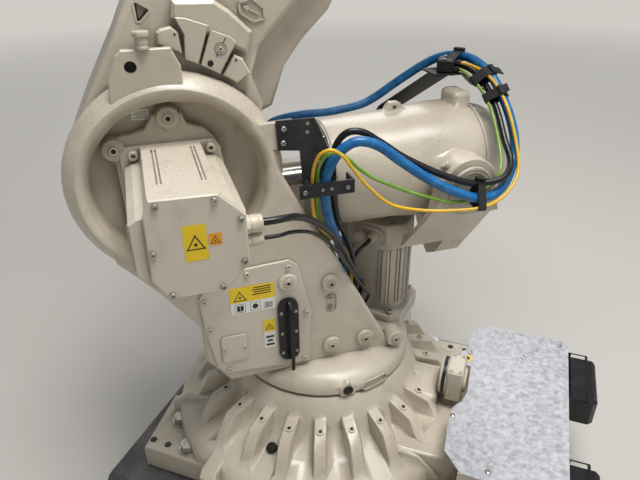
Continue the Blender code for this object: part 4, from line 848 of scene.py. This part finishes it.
# Motor of axis 1: ribs down its body and its cut corners, lid screws, foot bolts, the gland nuts and a
# wordless label. Every rib is 4 mm wide.
RIB = 0.004
RIB_SPAN = (0.345, 0.5)
ribs = []
for y in (-0.043, -0.034, 0.034, 0.043):
    ribs.append(bar((y, y + RIB), RIB_SPAN, 0.0603, 0.064, "X"))
    ribs.append(bar((y, y + RIB), RIB_SPAN, -0.064, -0.0603, "X"))
for x in (-0.022, -0.013, 0.009, 0.018):
    ribs.append(bar((x, x + RIB), RIB_SPAN, 0.0843, 0.088, "Y"))
    ribs.append(bar((x, x + RIB), RIB_SPAN, -0.088, -0.0843, "Y"))
piece("motor_1_ribs", ribs, cover_paint, place=MOTOR_1)
corner_ribs = []
for turn, x, y in ((45, 0.043, 0.067), (135, -0.043, 0.067), (225, -0.043, -0.067), (315, 0.043, -0.067)):
    corner = Matrix.Translation((x, y, 0)) @ Matrix.Rotation(math.radians(turn), 4, "Z")
    for start in (-0.02, -0.011, 0.007, 0.016):
        rib = bar((start, start + RIB), RIB_SPAN, 0.0003, 0.0034, "X")
        rib.transform(corner)
        corner_ribs.append(rib)
piece("motor_1_corner_ribs", corner_ribs, cover_paint, place=MOTOR_1)
lid_screws = screws(
    [(x, y) for x in (-0.047, 0.047) for y in (-0.06, 0.06)], 0.0055, 0.5703, 0.0045, "Z", 16)
lid_screws += screws([(x, y) for x in (-0.07, 0.07) for y in (-0.071, 0.071)], 0.0085, 0.3283, 0.01, "Z")
piece("motor_1_screws", lid_screws, zinc, place=MOTOR_1)
lid_tag = slab(rounded((-0.034, -0.001), (-0.033, 0.026), 0.003), 0.5702, 0.5706, "Z")
piece("motor_1_label", [lid_tag], label_yellow, place=MOTOR_1)
lid_marks = [slab(rounded((-0.03, -0.005), (-0.008, 0.022), 0.002), 0.5705, 0.5707, "Z")]
piece("motor_1_label_patch", lid_marks, label_black, place=MOTOR_1)
lid_marks = [slab(rounded((-0.028, -0.007), (-0.006, 0.02), 0.002), 0.5706, 0.5709, "Z")]
piece("motor_1_label_centre", lid_marks, label_yellow, place=MOTOR_1)
nuts = []
for y in (-0.012, 0.02):
    nuts.append(slab(circle(y, 0.541, 0.0128, 6), 0.0706, 0.0785, "X", 0.0008, 1))
    nuts.append(lathe([
        (0.0, 0.0785), (0.0112, 0.0785), (0.0116, 0.0795), (0.0116, 0.0875), (0.0098, 0.0935),
        (0.0, 0.0935)], "X", (y, 0.541), 12))
nuts.append(socket_screw(0.0042, 0.0706, 0.0035, "X", (0.004, 0.553), 12))
piece("motor_1_gland_nuts", nuts, cream_plastic, "column", MOTOR_1)


# Glands of the axis 2 motor: a hexagon foot, a ribbed dome nut and the lip that grips the cable.
gland_parts = []
for z, size in ((0.78, 0.015), (0.751, 0.0108)):
    gland_parts.append(slab(circle(0.321, z, size * 1.12, 6), 0.2243, 0.231, "X", 0.0008, 1))
    gland_parts.append(slab(circle(0.321, z, size * 1.04, 12), 0.209, 0.2225, "X", 0.001, 1))
    gland_parts.append(lathe([
        (0.0, 0.2023), (size * 0.78, 0.2023), (size * 0.94, 0.2065), (size * 0.96, 0.2095),
        (0.0, 0.2095)], "X", (0.321, z), 24))
piece("motor_2_gland_nuts", gland_parts, cream_plastic, "column")


# Hose brackets: their screws and bare tapped holes.
bracket_screws = screws(((0.118, 0.872), (0.12, 0.845)), 0.0052, 0.1446, 0.0045, "Y", 16)
bracket_screws += screws(((0.088, 0.752), (0.002, 0.752)), 0.0045, 0.1726, 0.004, "Y", 16)
piece("bracket_screws", bracket_screws, zinc, "column")
bracket_holes = [
    disc(0.0034, 0.1444, 0.1449, "Y", (x, z), 16)
    for x, z in ((0.072, 0.877), (0.073, 0.861), (0.05, 0.76), (0.05, 0.8))]
bracket_holes += [disc(0.0034, 0.1724, 0.1729, "Y", (x, 0.752), 16) for x in (0.034, 0.052)]
piece("bracket_holes", bracket_holes, label_grey, "column")


def band(circles, low, high, axis, inner=0.0006, outer=0.0026, count=48):
    """Closed strap stretched round circles (a, b, radius) that lie across an axis."""
    loops = []
    for grown in (inner, outer):
        loop = []
        for k in range(count):
            a, b = math.cos(math.tau * k / count), math.sin(math.tau * k / count)
            x, y, r = max(circles, key=lambda c: c[0] * a + c[1] * b + c[2])
            loop.append((x + (r + grown) * a, y + (r + grown) * b))
        loops.append(loop)
    return bridge(*loops, low, high, axis)


STRAP = 0.0026


def wrap(near, extra, width, lean, tail):
    """Wide strap square to the bundle where the blue hose passes a point, with its loose end."""
    radii = {"blue_hose": 0.01, "black_hose": 0.007, "green_hose": 0.0035, "yellow_hose": 0.0035}
    runs = {name: smooth_route(routes[name], STRAP_STEP) for name in radii}
    blue = runs["blue_hose"]
    k = min(range(1, len(blue) - 1), key=lambda i: (blue[i] - Vector(near)).length)
    middle = blue[k]
    along = (blue[k + 1] - blue[k - 1]).normalized()
    side = along.cross(Vector((0, 0, 1))).normalized()
    rise = side.cross(along)
    circles = list(extra)
    for name, run in runs.items():
        for a, b in zip(run, run[1:]):
            if (a - middle).length < 0.06 and (a - middle).dot(along) * (b - middle).dot(along) <= 0:
                circles.append(((a - middle).dot(side), (a - middle).dot(rise), radii[name]))
                break
    strap = band(circles, -width / 2, width / 2, "Z", 0.0005, 0.0028, 64)
    a, b, r = max(circles, key=lambda c: c[1] + c[2])
    crest = b + r
    end = bar((0.0, tail), (0.0, STRAP), -width * 0.46, width * 0.46, "Z", 0.0008, 1)
    end.transform(Matrix.Translation((a, crest + 0.001, 0)) @ Matrix.Rotation(math.radians(lean), 4, "Z"))
    lock = bar(
        (a - 0.007, a + 0.006), (crest + 0.002, crest + 0.0065), -width * 0.55, width * 0.55, "Z", 0.0012,
        2)
    place = Matrix.Translation(middle) @ Matrix((side, rise, -along)).transposed().to_4x4()
    for bm in (strap, end, lock):
        bm.transform(place)
    return [strap, end, lock]


# Hook-and-loop straps hold the bundle: one where the runs meet beside the balancer's ear, and three
# over the crest, the first round the clamp as well. Their loose ends stand up.
ties = wrap((-0.262, 0.221, 0.71), (), 0.018, 20, 0.014)
ties += wrap((-0.346, -0.053, 0.935), [(-0.043, -0.018, 0.016)], 0.022, 0, 0.008)
ties += wrap((-0.3825, 0.022, 0.907), (), 0.022, -18, 0.04)
ties += wrap((-0.39, 0.066, 0.871), (), 0.02, 35, 0.016)
piece("bundle_straps", ties, strap_nylon, "column")

# Push-in fittings of the hoses at the foot of the column, at the union and at the clamp, and the
# clamp's and the foot plate's own screws.
fittings = []
for name, size, high in (("blue_hose", 0.01, 0.018), ("black_hose", 0.007, 0.016),
                         ("green_hose", 0.0035, 0.012), ("yellow_hose", 0.0035, 0.012)):
    x, y, z = routes[name][0]
    fittings.append(band([(x, y, size)], z + 0.0002, z + high, "Z", 0.0004, 0.0032, 24))
for name, size in (("power_cable", 0.0065), ("sensor_cable", 0.0035), ("axis_1_cable", 0.005)):
    x, y, z = routes[name][-1]
    fittings.append(band([(x, y, size)], z + 0.0002, z + 0.01, "Z", 0.0004, 0.003, 24))
union_y, union_z = routes["blue_hose"][-1][1:]
fittings.append(band([(union_y, union_z, 0.01)], 0.128, 0.1492, "X", 0.0004, 0.003, 6))
for name, size in (("black_hose", 0.007), ("green_hose", 0.0035), ("yellow_hose", 0.0035)):
    ring = band([(0.0, 0.0, size)], -0.012, -0.0002, "X", 0.0004, 0.0028, 24)
    ring.transform(Matrix.Translation(routes[name][-1]) @ Matrix.Rotation(math.radians(-35), 4, "Z"))
    fittings.append(ring)
piece("hose_fittings", fittings, black_plastic, "column")
clamp_head = [(0.0, 0.0), (0.0042, 0.0), (0.004, 0.0022), (0.0024, 0.0034), (0.0, 0.0036)]
clamp_screws = [
    lathe(clamp_head, "Z", (x, y), 16, level) for x, y, level in (
        (-0.312, -0.05, 0.9348), (-0.292, -0.019, 0.9348), (-0.084, 0.09, 0.3303),
        (-0.022, 0.032, 0.3303))]
piece("clamp_screws", clamp_screws, zinc, "column")


# Lower arm and its stop: the raised hexagon frame with a plain arrow, the lined triangular pocket,
# the turned ring mark with its two scribed lines and the bore of the rear stop plate.
frame_points = [
    (0.009, 0.336, 0.002), (-0.009, 0.352, 0.002), (-0.034, 0.346, 0.002), (-0.042, 0.331, 0.002),
    (-0.026, 0.319, 0.002), (0.0, 0.322, 0.002)]
arm_marks = [
    band(frame_points, 0.095, 0.0985, "Y", -0.004, 0.0, 96),
    bar((-0.03, -0.01), (0.3325, 0.3355), 0.095, 0.098, "Y"),
    slab([(-0.01, 0.3285), (0.001, 0.334), (-0.01, 0.3395)], 0.095, 0.0981, "Y")]
piece("arm_frame_mark", arm_marks, cast_paint, "lower_arm", ARM)
pocket = [
    slab([(0.161, 0.2665), (0.1395, 0.265), (0.1475, 0.242)], 0.0722, 0.085, "Y", 0.0015, 2),
    band([(0.1595, 0.2635, 0.006), (0.141, 0.262, 0.006), (0.148, 0.244, 0.006)],
         0.0945, 0.0962, "Y", -0.003, 0.0, 72)]
piece("arm_pocket_lining", pocket, cast_paint, "lower_arm", ARM)
ring = bridge(circle(0.013, 0.256, 0.0078, 28), circle(0.013, 0.256, 0.0094, 28), 0.1183, 0.1192, "Y")
post = lathe([
    (0.0, 0.1183), (0.005, 0.1183), (0.005, 0.1195), (0.0044, 0.12), (0.0, 0.12)], "Y", (0.013, 0.256),
    20)
piece("stop_screws", [ring, post], cast_paint, "lower_arm", ARM)
# Black discs in the stop plate's bore, the post's socket and the buffers' holes are painted shade; the
# black ring round the mark and its two scribed lines are drawn in the same black.
stop_bore_shade_and_lines = [
    disc(0.0052, 0.1183, 0.1188, "Y", (0.02, 0.227), 18),
    disc(0.0018, 0.1199, 0.1203, "Y", (0.013, 0.256), 12),
    bridge(circle(0.013, 0.256, 0.0094, 28), circle(0.013, 0.256, 0.0104, 28), 0.1182, 0.1185, "Y"),
    slab([(0.0124, 0.2664), (0.0136, 0.2664), (0.0126, 0.2765), (0.0114, 0.2765)], 0.1181, 0.1185, "Y"),
    slab([(0.015, 0.2405), (0.0162, 0.2405), (0.0148, 0.2462), (0.0136, 0.2462)], 0.1181, 0.1185, "Y")]
for x, z, level in ((0.0905, 0.247, 0.1152), (-0.019, 0.249, 0.1152)):
    stop_bore_shade_and_lines.append(disc(0.002, level, level + 0.0005, "Y", (x, z), 12))
piece("stop_bore_shade_and_lines", stop_bore_shade_and_lines, shade_and_mark_black, "lower_arm", ARM)


# Elbow, wrist and flange, guessed from such machines: rings of cap screws, the screws of the three
# motors' end covers, the bolt circle of the tool flange, and the cap on the shoulder's right side.
ELBOW = Matrix.Translation((-0.19074, 0, 1.82238)) @ Matrix.Rotation(math.radians(-68.0), 4, "Y")
ring_screws = screws(circle(0, 0, 0.088, 12), 0.0075, 0.1853, 0.006, "Y")
spots = [
    (0.107 * math.cos(math.radians(turn)), 0.107 * math.sin(math.radians(turn)))
    for turn in (15, 75, 105, 165, 195, 255, 285, 345)]
flipped = screws(spots, 0.007, 0.1953, 0.006, "Y")
flipped += screws([(x, z) for x in (-0.066, 0.066) for z in (-0.066, 0.066)], 0.006, 0.4456, 0.005, "Y")
wrist_spots = circle(1.1425, 0.2, 0.046, 8)
ring_screws += screws(wrist_spots, 0.005, 0.1103, 0.004, "Y", 16)
flipped += screws(wrist_spots, 0.005, 0.1103, 0.004, "Y", 16)
for bm in flipped:
    mirror(bm, "Y")
rear_screws = screws([
    (y + dy, 0.19 + dz) for y in (0.088, -0.088) for dy in (-0.046, 0.046) for dz in (-0.046, 0.046)],
    0.0055, 0.4606, 0.004, "X", 16)
for bm in rear_screws:
    mirror(bm, "X")
ring_screws += rear_screws
piece("elbow_and_wrist_screws", ring_screws + flipped, zinc, "lower_arm", ELBOW)
# Black discs on the tool flange are painted shade for its bolt holes and centre bore.
flange_bore_shade = [disc(0.0052, 1.3431, 1.3434, "X", (y, z), 16) for y, z in circle(0, 0.2, 0.0625, 10)]
flange_bore_shade.append(disc(0.05, 1.3431, 1.3433, "X", (0, 0.2), 40))
piece("tool_flange_bore_shade", flange_bore_shade, shade_and_mark_black, "lower_arm", ELBOW)
shoulder_cap = [lathe([
    (0.0, 0.1583), (0.1, 0.1583), (0.1, 0.1625), (0.097, 0.165), (0.06, 0.165), (0.056, 0.163),
    (0.0, 0.163)], "Y", AXIS_2, 48)]
shoulder_cap += screws(circle(*AXIS_2, 0.109, 12), 0.006, 0.1583, 0.006, "Y", 16)
for bm in shoulder_cap:
    mirror(bm, "Y")
piece("shoulder_right_cap", shoulder_cap, cast_paint)


# Balancer: the welded seam behind its barrel, the retaining ring in front with its screws, the nut
# on the dome, and on each axle cap two turned rings with a bare plate.
seams = [band([(0.0, 0.0, 0.1256)], -0.08, -0.0755, "X", 0.0003, 0.0022, 72)]
seams.append(band([(0.0, 0.0, 0.112)], 0.2643, 0.2668, "X", -0.026, 0.0, 64))
seams.append(lathe([
    (0.0, -0.222), (0.012, -0.222), (0.017, -0.2195), (0.018, -0.2103), (0.0, -0.2103)], "X", (0, 0), 6))
piece("balancer_seams", seams, cast_paint, "balancer", BALANCER)
front_screws = screws(circle(0, 0, 0.099, 8, 0.4), 0.006, 0.2668, 0.005, "X", 16)
piece("balancer_front_screws", front_screws, zinc, "balancer", BALANCER)
cap_rings = []
for side in (1, -1):
    low = 0.1943
    for bm in (
            band([(*AXLE, 0.0375)], low, low + 0.001, "Y", -0.0022, 0.0, 48),
            band([(*AXLE, 0.044)], low, low + 0.0008, "Y", -0.0012, 0.0, 48),
            slab(rounded((-0.274, -0.25), (0.712, 0.724), 0.002), low, low + 0.0008, "Y")):
        if side < 0:
            mirror(bm, "Y")
        cap_rings.append(bm)
piece("axle_cap_rings", cap_rings, cast_paint)


# Yoke: the near arm is broad, so a curved web carries the cradle forward beside the balancer, and a
# hexagon grease plug stands on the shoulder of the ear.
near_web = slab([
    (0.1812, 0.735), (0.1797, 0.69), (0.1527, 0.6388), (0.1127, 0.5818), (0.076, 0.533), (0.076, 0.565),
    (0.115, 0.606), (0.1435, 0.652), (0.1435, 0.735)], -0.3, -0.172, "X")
for vert in near_web.verts:
    if vert.co.x > -0.23:
        vert.co.x -= (vert.co.z - 0.56) * 0.2
piece("yoke_near_web", [near_web], cast_paint)
grease_plug = [
    disc(0.01, 0.062, 0.067, "Z", (0, 0), 20),
    slab(circle(0, 0, 0.0108, 6), 0.0668, 0.0765, "Z", 0.0012, 1)]
for bm in grease_plug:
    bm.transform(Matrix.Translation((-0.262, 0.165, 0.718)) @ Matrix.Rotation(math.radians(45), 4, "Y"))
piece("ear_grease_plug", grease_plug, cast_paint)


# Base: a socket screw on every lug but the one at the cable entry, big hexagon foot bolts on washers
# with the spare tapped holes, a rubber plug in the skirt, screws and a yellow mark on the cover, and
# the black seal and the screws of the cable entry.
lug_screws = []
lug_socket_shade = []
for index in range(24):
    if index == 12:
        continue
    tilt = (
        Matrix.Rotation(math.radians(3.8 + 15.0 * index), 4, "Z") @ Matrix.Translation((0.272, 0, 0.2023))
        @ Matrix.Rotation(math.radians(16.5), 4, "Y"))
    screw = lathe([
        (0.0, 0.0), (0.0088, 0.0), (0.0088, 0.0016), (0.0078, 0.0026), (0.0046, 0.0026), (0.0043, 0.0008),
        (0.0, 0.0008)], "Z", (0, 0), 20)
    screw.transform(tilt)
    lug_screws.append(screw)
    bore = disc(0.0042, 0.0009, 0.0014, "Z", (0, 0), 12)
    bore.transform(tilt)
    lug_socket_shade.append(bore)
piece("lug_screws", lug_screws, cast_paint, "base", BASE)
foot_hole_shade = []
foot_bolts = []
for sx in (1, -1):
    for sy in (1, -1):
        for x, y in ((0.31, 0.226), (0.245, 0.299)):
            foot_bolts += hex_bolt(0.036, 0.0663, 0.0185, (sx * x, sy * y), 0.026)
        for x, y in ((0.343, 0.306), (0.3, 0.308)):
            foot_hole_shade.append(disc(0.0085, 0.0663, 0.0668, "Z", (sx * x, sy * y), 24))
piece("foot_bolts", foot_bolts, zinc, "base", BASE)
# Black discs in the lug screws' sockets and on the spare tapped holes of the feet are painted shade.
piece("foot_and_lug_hole_shade", lug_socket_shade + foot_hole_shade, shade_and_mark_black, "base", BASE)
rubber_plug = lathe([
    (0.0, 0.0), (0.013, 0.0), (0.013, 0.006), (0.011, 0.0095), (0.0, 0.0105)], "Z", (0, 0), 24)
rubber_plug.transform(
    Matrix.Rotation(math.radians(86.3), 4, "Z") @ Matrix.Translation((0.291, 0, 0.1445))
    @ Matrix.Rotation(math.radians(30), 4, "Y"))
piece("skirt_rubber_plug", [rubber_plug], black_plastic, "base", BASE)

sheet_head = [
    (0.0, 0.2283), (0.0058, 0.2283), (0.0054, 0.2303), (0.0032, 0.2315), (0.002, 0.2315),
    (0.0018, 0.2306), (0.0, 0.2306)]
sheet_screws = [
    lathe(sheet_head, "Z", spot, 20) for spot in (
        (-0.583, -0.203), (-0.497, -0.124), (-0.359, 0.133), (-0.583, 0.268), (-0.368, -0.098),
        (-0.45, 0.262))]
piece("cover_sheet_screws", sheet_screws, zinc, "base", BASE)
ring_mark = [disc(0.012, 0.2282, 0.2285, "Z", (-0.364, -0.0745), 28)]
piece("cover_yellow_mark", ring_mark, label_yellow, "base", BASE)
ring_mark = [disc(0.0062, 0.2284, 0.2287, "Z", (-0.364, -0.0745), 20)]
piece("cover_mark_centre", ring_mark, shade_and_mark_black, "base", BASE)
seal = band([(0.0, 0.222, 0.045)], -0.3245, -0.3165, "X", 0.0003, 0.0026, 48)
piece("entry_seal", [seal], black_plastic, "base", BASE)
entry_screws = screws(
    [(x, y) for x in (-0.358, -0.336) for y in (-0.03, 0.03)], 0.0045, 0.2663, 0.003, "Z", 16)
piece("entry_screws", entry_screws, cover_paint, "base", BASE)

# Plug hoods of the connection box: a locking lever, its pivots and the ribs of the grip.
hood_parts = []
for low, high, top in ((-0.186, -0.025, 0.222), (0.15, 0.232, 0.2)):
    for y in (low - 0.0035, high + 0.0003):
        hood_parts.append(slab([
            (-0.612, 0.166), (-0.604, 0.166), (-0.604, top + 0.003), (-0.65, top + 0.003),
            (-0.65, top + 0.0003), (-0.612, top + 0.0003)], y, y + 0.0032, "Y", 0.0008, 1))
    hood_parts.append(bar(
        (-0.65, -0.644), (top + 0.0003, top + 0.0035), low - 0.0003, high + 0.0003, "Y", 0.0008, 1))
    for x in (-0.664, -0.658):
        hood_parts.append(bar(
            (x, x + 0.003), (top + 0.0003, top + 0.0018), low + 0.015, high - 0.015, "Y"))
piece("plug_hood_levers", hood_parts, black_plastic, "base", BASE)
